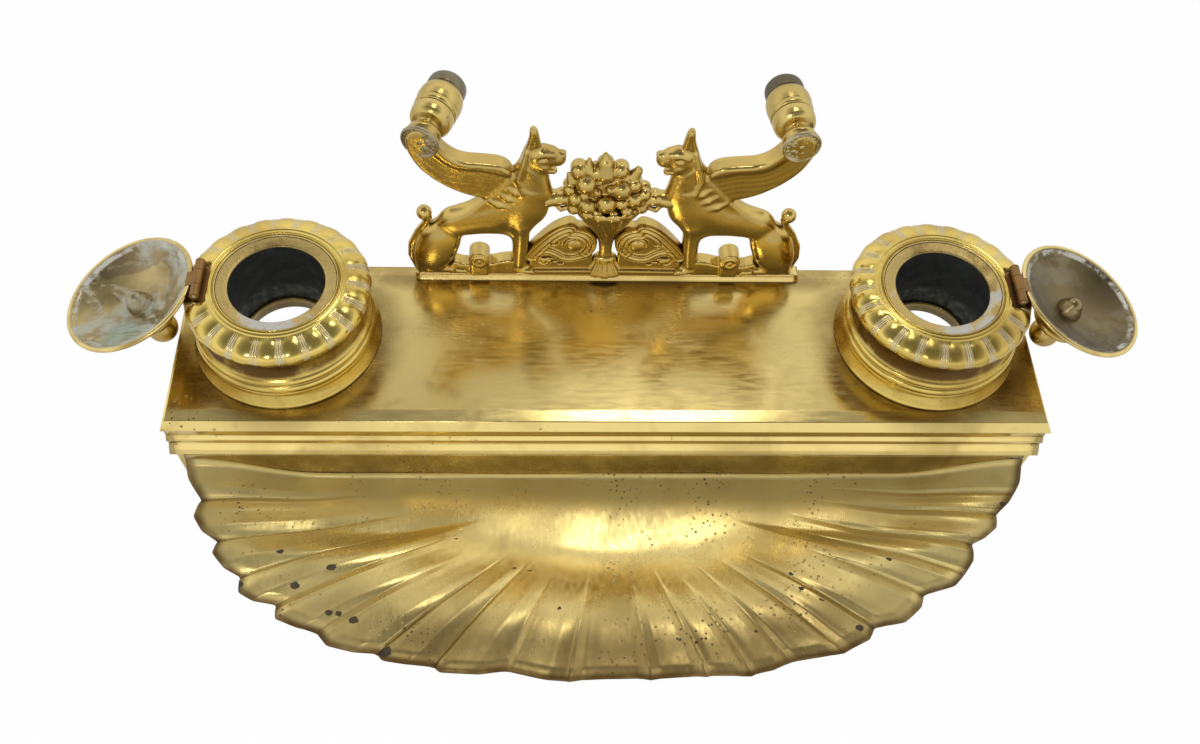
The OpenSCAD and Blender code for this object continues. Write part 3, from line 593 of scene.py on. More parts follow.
def add_tray():
    """Shell tray: one height map from the hub to a wavy rim, with a rolled edge and an underside,
    and the upright flange behind it."""
    shares = np.concatenate([np.geomspace(0.002, 0.08, 22), np.linspace(0.09, 0.9, 70),
                             np.linspace(0.91, 1.0, 16)])
    ends = np.array([0, 0.02, 0.06, 0.12, 0.2, 0.3, 0.45])
    angles = np.concatenate([ends, np.linspace(0.6, 179.4, 716), 180 - ends[::-1]])
    share, angle = np.meshgrid(shares, angles, indexing="ij")
    x, y, z = tray_surface(share, angle)
    top = np.stack([x, y + FRONT_Y, z], axis=2)
    rim_x, rim_y, rim_z = tray_surface(np.ones_like(angles), angles)
    rolled = [np.stack([rim_x * (1 + pull), rim_y * (1 + pull) + FRONT_Y, rim_z - drop], axis=1)
              for drop, pull in ((0.25, 0.003), (0.9, 0.005), (1.6, 0.003), (TRAY_T, -0.004))]
    low = top[::-1][2::3] - np.array([0, 0, TRAY_T])
    grid = np.concatenate([top, np.array(rolled), low])
    grid[:, :, 2] = np.maximum(grid[:, :, 2], TRAY_LOW[2])
    grid[:, :, 1] = np.minimum(grid[:, :, 1], FRONT_Y + 0.4)
    faces = sheet_faces(len(grid), len(angles))
    points = grid.reshape(-1, 3).tolist()
    flange = eased([(FRONT_Y + 2.0, TRAY_LOW[2]), (FRONT_Y + 0.05, TRAY_LOW[2] + 0.5),
                    (FRONT_Y + 0.05, box_mm("front_moulding")[0][2] - 0.1),
                    (TRAY_HIGH[1], box_mm("front_moulding")[0][2] - 0.1),
                    (TRAY_HIGH[1], TRAY_LOW[2])], 0.4, 3)
    xs = np.linspace(TRAY_LOW[0], TRAY_HIGH[0], 41)
    where = np.array(points)[:, :2]
    stain = np.zeros(len(points))
    for sx, sy, radius in STAINS:
        gap = np.hypot(where[:, 0] - sx, (where[:, 1] - FRONT_Y - sy) * 1.3)
        stain = np.maximum(stain, 1 - smooth_step(gap, radius * 0.3, radius * 1.4))
    skin = smooth_step(share, 0.55, 0.90) * smooth_step(np.sin(np.radians(angle)), 0.55, 0.95)
    edge = smooth_step(share, 0.975, 1.0)
    below = (len(rolled) + len(low), len(angles))
    worn = np.concatenate([skin, np.ones(below)])
    # Painted shade: the rolled edge of the rim, the underside and the flange behind the tray are
    # darkened through this mark.
    rim = np.concatenate([edge, np.ones(below)])
    rim[-len(low):] = 0.5
    # A satin coat near the base's front; the share at the far ends is a painted sheen in place of the
    # ribs' reflections.
    coat_and_sheen = np.maximum(0.72 * smooth_step(y, -26, -6), 0.42 * smooth_step(np.abs(x), 70, 115))
    coat_and_sheen = np.concatenate([0.04 + coat_and_sheen, np.zeros(below)])
    start = len(points)
    points += [(fx, fy + 0.12 * math.sin(fx / 23) * (fy < FRONT_Y + 1), fz)
               for fx in xs for fy, fz in flange]
    faces += [tuple(start + i for i in face) for face in bar_faces(len(xs), len(flange))]
    flange_count = len(points) - len(stain)
    marks = {"stain": (stain, 0.0), "worn": (worn.ravel(), 0.0), "grime_and_shade": (rim.ravel(), 0.6),
             "film_and_sheen": (coat_and_sheen.ravel(), 0.0)}
    piece("shell", points, faces, SHELL, stands_for=("shell_tray",),
          marks={mark: np.concatenate([values, np.full(flange_count, on_flange)])
                 for mark, (values, on_flange) in marks.items()})


# ------------------------------------------------------------------ pots
GADROONS = 22
LOBE_W = 0.36            # half a lobe's share of the pitch
LOBE_DEPTH = 0.40
REED_DEPTH = 0.50
REED_H = 0.22
DRUM_STEPS = 160
WELL_STEPS = 128
LIP_R = 24.8
POT_H = 32.0


def gadroon(angles):
    """Depth and chalk of the shoulder's lobes: broad low lobes between bands of three fine reeds."""
    turn = (angles * GADROONS / (2 * math.pi)) % 1.0 - 0.5
    side = np.abs(turn)
    lobe = -LOBE_DEPTH * (side / LOBE_W) ** 2.2
    reed = np.abs(np.sin(1.5 * math.pi * (side - LOBE_W) / (0.5 - LOBE_W)))
    chalk = smooth_step(side, LOBE_W - 0.01, LOBE_W + 0.015) * (1 - 0.95 * reed)
    return np.where(side < LOBE_W, lobe, -REED_DEPTH + REED_H * reed), chalk


def gadroon_angles():
    """Angles round the shoulder, closer together over the reeds."""
    lobe = np.linspace(-LOBE_W, LOBE_W, 12, endpoint=False)
    reeds = np.linspace(LOBE_W, 1 - LOBE_W, 16, endpoint=False)
    one = np.concatenate([lobe, reeds]) + 0.5
    return np.concatenate([(one + k) for k in range(GADROONS)]) * 2 * math.pi / GADROONS


def facing(points, heading):
    """1 on the side of the Z axis that the heading in degrees points to, -1 on the far side."""
    return np.cos(np.arctan2(points[:, 1], points[:, 0]) - math.radians(heading))


def add_drum(name, move):
    """Drum of a pot: plain foot, two beads, and the hollow under the shoulder."""
    drum = eased([(35.2, 0), (36.05, 0.0), (36.05, 0.9), (35.6, 1.6), (34.7, 3.6), (34.0, 5.6),
                  (33.9, 7.3)], 0.4, 3).tolist()
    drum += arc(32.75, 9.1, 1.75, -58, 66, 9) + arc(32.2, 12.4, 1.75, -62, 74, 9)
    drum += eased([(32.55, 14.2), (31.7, 15.2), (31.0, 17.2), (30.8, 19.6), (31.1, 21.4)], 1.0,
                  3).tolist()
    points, faces = spun(drum, DRUM_STEPS)
    foot = 1 - smooth_step(points[:, 2], 0.3, 0.9)
    # Painted shade: the hollow under the shoulder is darkened, more on the side facing front left;
    # the darkened foot is a real dark joint.
    hollow = smooth_step(points[:, 2], 13.6, 15.5) * (0.80 + 0.55 * facing(points, -125))
    piece("drum_" + name, placed(points, move), faces, POT,
          stands_for=("pot_drum_" + name,),
          marks={"chalk": np.zeros(len(points)), "grime_and_shade": np.maximum(foot, hollow)})


def add_shoulder(name, side, move):
    """Shoulder of a pot: a gadrooned ring, a smooth lip, and the pocket for the hinge."""
    under = eased([(31.0, 21.0), (31.2, 22.4), (32.0, 23.6), (32.9, 24.0)], 0.5, 3)[:-1]
    ring = softened([(32.9, 24.0), (34.0, 24.6), (34.8, 26.0), (34.8, 27.6), (33.8, 29.3),
                     (31.6, 30.7), (28.8, 31.6), (25.9, 31.9)], 7, closed=False)
    inner = eased([ring[-1], (25.4, POT_H - 0.3), (24.7, POT_H - 0.05), (23.9, POT_H - 0.1),
                   (23.55, POT_H - 0.8), (23.25, POT_H - 0.8), (23.0, POT_H - 0.25),
                   (22.65, POT_H - 0.2), (22.5, POT_H - 0.6), (22.5, POT_H - 1.2)], 0.25, 4)[1:]
    shoulder = np.vstack([under, ring, inner])
    first, last = len(under), len(under) + len(ring)
    where = np.linspace(0, 1, len(ring))
    strength = np.zeros(len(shoulder))
    strength[first:last] = smooth_step(where, 0.03, 0.12) * (1 - smooth_step(where, 0.90, 0.98))
    angles = gadroon_angles()
    points, faces = spun(shoulder, angles, lambda around, rows: gadroon(around)[0] * strength[rows])

    reeds = gadroon(angles)[1]
    chalk = reeds * np.sqrt(strength)[:, None]
    tips = (1 - smooth_step(where, 0.10, 0.30))[:, None] * (reeds > 0.02)
    chalk[first:last] = np.maximum(chalk[first:last], 0.6 * tips)
    seat_rows = 8
    chalk[-seat_rows:] = np.maximum(chalk[-seat_rows:], 0.45)
    # Painted shade under the bulge of the shoulder, and dark crust at the lower ends of the lobes.
    grime_and_shade = np.zeros_like(chalk)
    grime_and_shade[:first] = 0.95
    grime_and_shade[first:last] = (1 - smooth_step(where, 0.04, 0.20))[:, None]

    half_pocket, pocket_z = 9.2, POT_H - 3.2
    in_pocket = (np.abs(points[:, 1]) < half_pocket) & (points[:, 0] > LIP_R + 0.3)
    points[:, 2] = np.where(in_pocket, np.minimum(points[:, 2], pocket_z), points[:, 2])
    points[:, 0] *= side
    piece("shoulder_" + name, placed(points, move), turned(faces, side < 0), POT,
          stands_for=("pot_shoulder_" + name,),
          marks={"chalk": chalk.ravel(), "grime_and_shade": grime_and_shade.ravel()})


def add_well(name, side, move):
    """Sleeve of a well: a crusted bore under a rounded seat. Its visible side faces the axis."""
    bore_rows = 20
    sleeve = np.array([(19.6, 0.0)] + [(18.0, z) for z in np.linspace(0, 30.0, 24)]
                      + eased([(18.0, 30.2), (18.0, 30.7), (18.5, 31.0), (22.2, 31.45),
                               (22.45, 31.2), (22.45, 30.6)], 0.3, 4).tolist())

    def crusted(around, rows):
        waves = 0.12 * np.sin(around * 7 + rows * 0.9) + 0.07 * np.sin(around * 23 - rows * 1.7)
        return waves * (rows < bore_rows)

    points, faces = spun(sleeve, WELL_STEPS, crusted)
    piece("well_" + name, placed(points, move), turned(faces), WELL,
          stands_for=("well_sleeve_" + name,),
          marks={"seat": smooth_step(points[:, 2], 30.1, 30.9),
                 "low": 1 - smooth_step(points[:, 2], 7.5, 10.0),
                 "crust": smooth_step(facing(points, -52 if side > 0 else -90), 0.35, 0.95)})


def add_pot(name, side):
    """A pot on the deck: drum, shoulder and the sleeve of its well."""
    move = Matrix.Translation((side * POT_X, POT_Y, DECK_TOP))
    add_drum(name, move)
    add_shoulder(name, side, move)
    add_well(name, side, move)


def well_paint():
    """Inside of a well: black-green crust, greyer low down, and a cream stained seat on top."""
    p = Paint("well_crust")
    seat, low, crust = p.mark("seat"), p.mark("low"), p.mark("crust")
    mottle = p.noise(160, 6, 0.7)
    dark = p.blend(p.span(mottle, 0.35, 0.7), (0.004, 0.005, 0.0045), (0.018, 0.026, 0.022))
    grey = p.blend(p.span(p.noise(300, 5, 0.7), 0.4, 0.65), (0.03, 0.04, 0.036), (0.20, 0.24, 0.22))
    color = p.blend(low, dark, grey)
    cream = p.blend(p.span(p.noise(60, 5, 0.6), 0.50, 0.66), (0.50, 0.365, 0.13), (0.29, 0.20, 0.07))
    ragged = p.plus(p.noise(110, 6, 0.65, twist=0.5), p.times(crust, 0.22))
    white = p.span(ragged, 0.63, 0.78)
    cream = p.blend(white, cream, (0.56, 0.54, 0.46))
    color = p.blend(seat, color, cream)
    rough = p.most(p.span(p.noise(400, 3), 0.3, 0.7, 0.26, 0.36),
                   p.times(p.most(white, p.one_less(seat)), 0.6))
    metal = p.times(seat, p.one_less(white))
    normal = p.bump(p.noise(350, 6, 0.7), 0.35, 0.6)
    return p.finish(color, metal, rough, normal)


WELL = well_paint()


# ------------------------------------------------------------------ lids
LID_LEAN = 19.5          # how far past level a lid leans when it is open
LID_SEAT = 0.2
LID_STEPS = 128


def opened(side):
    """Carries a lid drawn closed round Z = 0 to where it rests, open."""
    out = PIN_X - POT_X
    up = PIN_Z - DECK_TOP - POT_H
    mirror = Matrix.Diagonal((side, 1, 1, 1))
    return (mirror @ Matrix.Translation((PIN_X, PIN_Y, PIN_Z))
            @ Matrix.Rotation(math.radians(180 + LID_LEAN), 4, "Y")
            @ Matrix.Translation((-out, 0, LID_SEAT - up)))


def lid_paint(name, crust):
    """Inside of a lid: dull brass under a grey and cream crust with sharp-edged patches."""
    p = Paint(name)
    inside, groove = p.mark("inside"), p.mark("groove")
    grain = p.noise(700, 3, 0.6)
    full = 0.145 + 0.32 * crust
    brass_color = p.blend(p.span(p.noise(45, 5, 0.6), 0.4, 0.66),
                          (full, full * 0.79, full * 0.36), (full * 0.6, full * 0.46, full * 0.21))
    patch = p.noise(34, 3, 0.5, twist=1.0)
    grey = p.span(patch, 0.50, 0.515)
    pale = p.times(p.span(p.noise(40, 6, 0.68, twist=0.8), 0.47, 0.58), crust)
    color = p.blend(p.times(grey, 0.55), brass_color, (0.20, 0.145, 0.085))
    color = p.blend(p.times(pale, 0.85), color, (0.50, 0.50, 0.40))
    green = p.times(p.span(p.noise(30, 3, 0.5), 0.56, 0.66), 0.5 * crust)
    color = p.blend(green, color, (0.30, 0.42, 0.33))
    outer = p.blend(p.span(p.noise(40, 5, 0.6), 0.45, 0.7), (0.76, 0.60, 0.24), (0.46, 0.33, 0.11))
    color = p.blend(inside, outer, color)
    dry = p.times(groove, p.span(p.noise(130, 5, 0.7), 0.42, 0.58))
    color = p.blend(dry, color, CHALK)
    covered = p.times(inside, p.times(pale, 0.8))
    metal = p.one_less(p.most(covered, dry))
    rough = p.most(p.span(grain, 0.3, 0.7, 0.24, 0.34),
                   p.times(inside, p.plus(0.30, p.times(pale, 0.3))))
    normal = p.bump(p.times(pale, inside), 0.15, 0.7)
    normal = p.bump(p.noise(90, 3, 0.5), 0.4, 0.12, normal)
    return p.finish(color, metal, rough, normal)


LID_PAINT = {"left": lid_paint("lid_crusted_brass", 1.0), "right": lid_paint("lid_dull_brass", 0.12)}


def add_lid(name, side):
    """Lid: outer dome, rolled rim and inner bowl as one turned shell, then its nut and finial."""
    move = opened(side)
    rim_t, rim_r, dome_h = 1.5, 24.0, 7.7
    bowl_r, bowl_h = 22.31, 6.4

    def add(part, profile, count, turn, paint, node, marks=None):
        points, faces = spun(profile, count)
        piece(part + name, placed(points, move), turned(faces, turn), paint,
              body="lid_" + name, stands_for=(node + name,), marks=marks)

    outer = [(rim_r * t, rim_t + dome_h * (1 - t ** 1.7)) for t in np.linspace(0.04, 1, 26)]
    roll = [(24.3, rim_t + 0.05)] + arc(25.65, 0.85, 0.85, 110, -110, 9)
    step = [(24.6, 0.30), (23.9, 0.36), (23.5, 0.95), (23.1, 1.15), (bowl_r, rim_t)]
    inner = [(bowl_r * t, rim_t + bowl_h * (1 - t ** 1.7)) for t in np.linspace(1, 0.05, 26)][1:]
    edge = len(outer) + len(roll)
    profile = outer + roll + step + inner
    rows = np.repeat(np.arange(len(profile)), LID_STEPS)
    add("lid_bowl_", profile, LID_STEPS, side > 0, LID_PAINT[name], "lid_",
        {"inside": rows >= edge, "groove": (rows > edge) & (rows < edge + 4)})

    nut = eased([(5.3, 7.6), (5.1, 6.8), (4.5, 5.6), (3.75, 4.3)], 0.7, 4).tolist() \
        + arc(0.0, 4.9, 3.5, -20, -89.5, 12)
    count = 48
    add("lid_boss_", nut, count, side > 0, LID_PAINT[name], "finial_nut_",
        {"inside": np.full(len(nut) * count, 0.85), "groove": np.zeros(len(nut) * count)})

    line = [(4.6, 8.8), (4.2, 10.0), (4.2, 12.4), (5.2, 13.4), (8.0, 13.8)]
    line += arc(8.8, 15.2, 1.4, -70, 90, 7) + [(6.4, 16.8), (4.4, 17.4), (4.0, 18.3), (4.4, 19.0)]
    line += arc(0.0, 22.9, 5.9, -42, 66, 14) + [(1.6, 28.5), (1.2, 28.9), (0.02, 29.0)]
    add("finial_turned_", eased(line, 0.5, 3), 64, side < 0, LID, "finial_")


# ------------------------------------------------------------------ modelled shapes
def softened(points, steps=5, closed=True):
    """A smooth line through the points."""
    points = np.array(points, float)
    n = len(points)
    out = []
    for i in range(n if closed else n - 1):
        a, b, c, d = (points[(i + s) % n] if closed else points[min(max(i + s, 0), n - 1)]
                      for s in (-1, 0, 1, 2))
        for t in np.arange(steps) / steps:
            out.append(0.5 * (2 * b + (c - a) * t + (2 * a - 5 * b + 4 * c - d) * t ** 2
                              + (3 * b - a - 3 * c + d) * t ** 3))
    if not closed:
        out.append(points[-1])
    return np.array(out)


def line_gap(u, v, line):
    """Distance from each place to an open line."""
    best = np.full(np.broadcast(u, v).shape, 1e9)
    for a, b in zip(line, line[1:]):
        du, dv = b[0] - a[0], b[1] - a[1]
        t = np.clip(((u - a[0]) * du + (v - a[1]) * dv) / (du * du + dv * dv + 1e-12), 0, 1)
        best = np.minimum(best, (u - a[0] - t * du) ** 2 + (v - a[1] - t * dv) ** 2)
    return np.sqrt(best)


def outline_gap(u, v, line):
    """Distance to a closed outline, below zero inside it."""
    loop = np.vstack([line, line[:1]])
    gap = line_gap(u, v, loop)
    inside = np.zeros(gap.shape, bool)
    for a, b in zip(loop, loop[1:]):
        if a[1] != b[1]:
            between = (a[1] > v) != (b[1] > v)
            inside ^= between & (u < (b[0] - a[0]) * (v - a[1]) / (b[1] - a[1]) + a[0])
    return np.where(inside, -gap, gap)


NEAR = 0.001             # a corner within this many millimetres of the surface counts as outside


def net(field, low, cell):
    """Points and quads of the surface on which a block of distances is zero, smoothed twice."""
    field = np.where(np.abs(field) < NEAR, NEAR, field)
    inside = field < 0
    half = (slice(None, -1), slice(1, None))
    corners = [(i, j, k) for i in (0, 1) for j in (0, 1) for k in (0, 1)]
    count = sum(inside[half[i], half[j], half[k]].astype(np.int8) for i, j, k in corners)
    active = (count > 0) & (count < 8)
    where = np.argwhere(active)
    values = {c: field[tuple((where + c).T)] for c in corners}
    total = np.zeros(where.shape)
    hits = np.zeros(len(where))
    for start in corners:
        for axis in range(3):
            if start[axis]:
                continue
            end = tuple(1 if n == axis else start[n] for n in range(3))
            one, two = values[start], values[end]
            crossed = (one < 0) != (two < 0)
            point = np.tile(np.array(start, float), (len(where), 1))
            point[:, axis] = np.where(crossed, one / np.where(crossed, one - two, 1), 0)
            total += point * crossed[:, None]
            hits += crossed
    points = low + cell * (where + total / hits[:, None])
    number = np.full(active.shape, -1)
    number[active] = np.arange(len(where))
    faces = []
    for axis in range(3):
        one, two = (axis + 1) % 3, (axis + 2) % 3
        lower = np.take(inside, range(inside.shape[axis] - 1), axis)
        upper = np.take(inside, range(1, inside.shape[axis]), axis)
        at = np.argwhere(lower != upper)
        room = [(at[:, n] > 0) & (at[:, n] < inside.shape[n] - 1) for n in (one, two)]
        at = at[room[0] & room[1]]
        ring = []
        for back_one, back_two in ((1, 1), (0, 1), (0, 0), (1, 0)):
            cell_at = at.copy()
            cell_at[:, one] -= back_one
            cell_at[:, two] -= back_two
            ring.append(number[tuple(cell_at.T)])
        quads = np.stack(ring, axis=1)
        outward = inside[tuple(at.T)]
        faces.append(np.where(outward[:, None], quads, quads[:, ::-1]))
    faces = np.vstack(faces)
    for _ in range(2):
        around = np.zeros(points.shape)
        shares = np.zeros(len(points))
        for n in range(4):
            for m in (1, 3):
                np.add.at(around, faces[:, n], points[faces[:, (n + m) % 4]])
                np.add.at(shares, faces[:, n], 1)
        points = 0.6 * points + 0.4 * around / shares[:, None]
    return points, faces


class Clay:
    """A block of small cells holding the distance to a growing shape, the same on both faces:
    u out from the crest's middle, v up from the deck, w away from its middle plane."""

    def __init__(self, low, high, cell=0.35):
        counts = [int((b - a) / cell) + 2 for a, b in zip(low, high)]
        self.cell = cell
        self.low = np.array(low, float)
        axes = [a + cell * np.arange(n) for a, n in zip(low, counts)]
        self.axes = [a.astype(np.float32) for a in np.meshgrid(*axes, indexing="ij", sparse=True)]
        self.field = np.full(counts, 6.0, np.float32)

    def merge(self, cut, gap, blend, carve):
        here = self.field[cut]
        if carve:
            t = np.clip(0.5 - 0.5 * (here + gap) / blend, 0, 1)
            self.field[cut] = here * (1 - t) - gap * t + blend * t * (1 - t)
        else:
            t = np.clip(0.5 + 0.5 * (gap - here) / blend, 0, 1)
            self.field[cut] = gap * (1 - t) + here * t - blend * t * (1 - t)

    def region(self, points, reach):
        points = np.array(points, float)
        cut = []
        for n in range(3):
            first = int((points[:, n].min() - reach - self.low[n]) / self.cell)
            last = int((points[:, n].max() + reach - self.low[n]) / self.cell) + 2
            cut.append(slice(max(first, 0), max(last, 0)))
        u, v, w = self.axes
        return tuple(cut), u[cut[0]], v[:, cut[1]], w[:, :, cut[2]]

    def egg(self, middle, radii, turn=0.0, blend=1.2, carve=False):
        """A ball stretched to three radii, turned in the u-v plane. The distance is near enough,
        but it is 0 exactly at the middle, too."""
        cut, u, v, w = self.region([middle], max(radii) + blend + 1)
        cos, sin = math.cos(math.radians(turn)), math.sin(math.radians(turn))
        along = (u - middle[0]) * cos + (v - middle[1]) * sin
        across = (v - middle[1]) * cos - (u - middle[0]) * sin
        deep = w - middle[2]
        one = np.sqrt((along / radii[0]) ** 2 + (across / radii[1]) ** 2 + (deep / radii[2]) ** 2)
        two = np.sqrt((along / radii[0] ** 2) ** 2 + (across / radii[1] ** 2) ** 2
                      + (deep / radii[2] ** 2) ** 2)
        self.merge(cut, one * (one - 1) / np.maximum(two, 1e-6), blend, carve)

    def ball(self, middle, radius, blend=0.4, carve=False):
        self.egg(middle, (radius, radius, radius), 0, blend, carve)

    def limb(self, chain, flat=1.0, blend=1.2, carve=False):
        """A round bar through (u, v, w, radius) places; flat thins it front to back."""
        reach = max(p[3] for p in chain) + blend + 1
        cut, u, v, w = self.region([p[:3] for p in chain], reach)
        gap = None
        for a, b in zip(chain, chain[1:]):
            step = (b[0] - a[0], b[1] - a[1], (b[2] - a[2]) * flat)
            du, dv, dw = u - a[0], v - a[1], (w - a[2]) * flat
            t = np.clip((du * step[0] + dv * step[1] + dw * step[2])
                        / (sum(s * s for s in step) + 1e-9), 0, 1)
            away = np.sqrt((du - t * step[0]) ** 2 + (dv - t * step[1]) ** 2
                           + (dw - t * step[2]) ** 2) - a[3] - t * (b[3] - a[3])
            gap = away if gap is None else np.minimum(gap, away)
        self.merge(cut, gap, blend, carve)

    def plate(self, flat_gap, half, edge=0.8, blend=0.8, carve=False):
        """A slab with rounded edges: flat_gap is the distance to its outline, half its half
        thickness, a number or a map."""
        across = flat_gap[:, :, None] + edge
        deep = self.axes[2] - np.asarray(half)[..., None] + edge if np.ndim(half) \
            else self.axes[2] - half + edge
        gap = (np.minimum(np.maximum(across, deep), 0)
               + np.hypot(np.maximum(across, 0), np.maximum(deep, 0)) - edge)
        self.merge((slice(None),) * 3, gap.astype(np.float32), blend, carve)

    def cut_below(self, height):
        self.field = np.maximum(self.field, height - self.axes[1])

    def flat(self):
        """The places across and up, for outlines."""
        u, v, _ = self.axes
        return u[:, :, 0], v[:, :, 0]

    def finish(self, name, side, material, stands_for):
        """Meshes the shape with its far face mirrored, and stands it on the crest's line."""
        both = np.concatenate([self.field[:, :, :0:-1], self.field], axis=2)
        low = self.low.copy()
        low[2] = -self.cell * (self.field.shape[2] - 1)
        points, faces = net(both, low, self.cell)
        placed_at = np.stack([CREST_X + side * points[:, 0], CREST_Y - points[:, 2],
                              DECK_TOP + points[:, 1]], axis=1)
        piece(name, placed_at, turned(faces.tolist(), side < 0), material,
              stands_for=stands_for)


# ------------------------------------------------------------------ crest
CREST_X = -1.7           # the figures stand a little left of the deck's middle
RAIL_H = RAIL_TOP - DECK_TOP
CLAY_FLOOR = RAIL_H - 0.3     # the figures reach a little into the rail

BEAST = [(30.6, 3), (31.3, 9), (30.7, 18), (30.7, 26), (28.7, 30.5), (26, 34.2), (23.7, 39.5),
         (22.1, 45), (22, 50), (23, 54.5), (24.6, 58.4), (31, 66), (33.8, 65), (36.5, 61),
         (42, 54), (48, 47), (53.7, 41.6), (58.8, 38), (66.7, 32.2), (71.5, 26.5), (75, 19),
         (76.4, 12), (76.2, 6), (75, 3), (66, 3), (64.5, 8.5), (61.6, 13), (58.6, 18), (56.9, 23),
         (55.6, 26), (50, 26.8), (44.4, 26.4), (40.3, 25.8), (37.8, 23.5), (37.1, 19), (37.2, 12),
         (37.8, 7), (38.2, 3)]
WING = [(36.6, 60.5), (38.3, 63.3), (41.4, 65.1), (47.2, 66), (54, 66.8), (58.5, 69.3), (62.2, 74),
        (64, 80), (69, 83), (74, 79.5), (74.3, 73), (71.8, 65.8), (68.2, 60.4), (62.9, 54.8),
        (57.4, 50.8), (52, 48.4), (46, 47), (40, 48), (37.2, 53)]
EAR = [(25.8, 70.5), (25.9, 74.5), (26.4, 78), (27.0, 80.6), (28.0, 82), (29.4, 82),
       (30.0, 80.4), (30.2, 78), (30.9, 74.8), (31.8, 71), (29.5, 69)]


def griffin_clay():
    """Half of the mirrored pair: a seated winged beast facing the basket."""
    clay = Clay((14, 2.2, 0), (80.5, 86, 6.6))
    u, v = clay.flat()
    beast = outline_gap(u, v, softened(BEAST))
    clay.plate(beast, 3.2, edge=2.6, blend=0.5)
    # trunk, shoulder and neck
    clay.limb([(33, 41, 0, 9.0), (44, 35.5, 0, 8.2), (58, 32, 0, 7.6)], flat=1.9, blend=2)
    clay.limb([(27.6, 65, 0, 5.2), (28.4, 58, 0, 5.6), (29.8, 49, 0, 8.0), (32, 40, 0, 8.6)],
              flat=1.75, blend=2)
    clay.egg((33.4, 34.5, 1.4), (5.6, 7.2, 3.6), 12, blend=1.6)
    # head: skull, muzzle, jaw, nose, brow, cheek and eye
    clay.egg((25.6, 67.4, 0), (6.3, 5.4, 3.4), 8, blend=1.6)
    clay.egg((20.2, 67.2, 0), (3.6, 3.9, 2.7), -20, blend=1.0)
    clay.limb([(25.4, 62.6, 0, 2.5), (21.2, 60.6, 0, 1.5)], flat=0.85, blend=0.8)
    clay.ball((17.8, 69.0, 0.6), 1.35, 0.6)
    clay.limb([(21.4, 70.2, 1.5, 1.0), (24.8, 70.8, 2.0, 1.1), (28.2, 69.6, 1.9, 0.9)], blend=1.6)
    clay.egg((25.0, 64.4, 2.0), (2.7, 2.1, 1.7), 20, blend=0.6)
    clay.egg((25.0, 69.0, 3.8), (1.7, 0.8, 1.1), -6, blend=0.6, carve=True)
    clay.limb([(17.5, 62.9, 0, 0.4), (20.5, 62.6, 0, 1.0), (23.0, 62.9, 0, 0.5)], flat=0.1,
              blend=0.5, carve=True)
    clay.limb([(23.0, 62.9, 3.2, 0.6), (24.6, 62.2, 3.4, 0.3)], blend=0.4, carve=True)
    clay.plate(outline_gap(u, v, softened(EAR)), 1.7, edge=1.3, blend=1.0)
    clay.limb([(28.4, 78.0, 2.3, 0.4), (28.6, 75.0, 2.4, 0.7), (28.4, 73.0, 2.7, 0.4)], blend=0.6,
              carve=True)
    # mane edge and the crease in front of the wing
    clay.limb([(31.0, 71, 1.6, 0.9), (32.3, 65.5, 2.4, 1.1), (34.2, 58, 3.2, 1.0),
               (32.6, 52, 4.0, 0.8)], blend=0.9)
    # wing: a thick blade with a raised leading edge and faint feathers
    wing = outline_gap(u, v, softened(WING))
    sweep = line_gap(u, v, softened([(38, 64), (47, 66.6), (57, 68.5), (66, 80)], closed=False))
    feathers = 0.02 * np.sin(sweep * 2 * math.pi / 2.6) * smooth_step(sweep, 3.5, 6)
    dip = 0.9 * smooth_step(sweep, 2.4, 5.4) * (1 - 0.6 * smooth_step(u, 58, 70))
    clay.plate(wing, 3.7 - dip + feathers, edge=1.3, blend=0.9)
    clay.limb([(36.6, 63, 3.9, 0.9), (36.9, 58, 4.3, 1.1), (36.2, 54.5, 4.6, 0.6)], blend=0.6,
              carve=True)
    clay.ball((36.8, 57.2, 4.4), 1.2, 0.4, carve=True)
    for low_u, low_v, high_u, high_v in ((33.0, 50.2, 37.6, 53.4), (35.2, 46.8, 40.4, 49.8),
                                         (38.6, 43.4, 44.6, 46.4)):
        clay.limb([(low_u, low_v, 3.0, 0.7), ((low_u + high_u) / 2, (low_v + high_v) / 2 - 0.5,
                                              3.3, 1.1), (high_u, high_v, 3.0, 0.6)], blend=1.3)
    # foreleg and paw
    clay.limb([(33.2, 32, 0.8, 3.3), (33.6, 20, 0.7, 2.7), (34.4, 9, 0.7, 2.6)], flat=0.85,
              blend=1.4)
    clay.egg((33.6, 5.6, 0), (4.6, 2.7, 4.1), 0, blend=0.8)
    for w in (0.0, 1.7, 3.2):
        clay.limb([(32.6, 5.6, w, 1.3), (30.2, 5.3, w, 1.25), (28.9, 4.4, w, 1.0)], blend=0.35)
    # haunch, hock and hind paw
    clay.limb([(66.0, 21.8, 0.6, 8.2), (69.6, 14, 0.4, 6.6), (72.6, 7.5, 0.2, 3.8)], flat=2.0,
              blend=1.1)
    clay.egg((67.2, 17.4, 1.4), (8.4, 13.6, 4.4), 16, blend=1.4)
    clay.limb([(57.6, 27.0, 2.6, 0.5), (58.9, 20.5, 3.6, 0.5), (61.6, 14.5, 3.6, 0.5),
               (66, 9.6, 3.0, 0.5)], blend=0.5, carve=True)
    clay.limb([(71, 5.6, 0, 2.5), (63, 5.2, 0, 2.2), (59, 5.4, 0, 2.3)], flat=0.65, blend=0.8)
    for w in (0.0, 1.6, 3.0):
        clay.limb([(59.5, 5.6, w, 1.25), (56.8, 5.2, w, 1.2), (55.6, 4.3, w, 0.9)], blend=0.35)
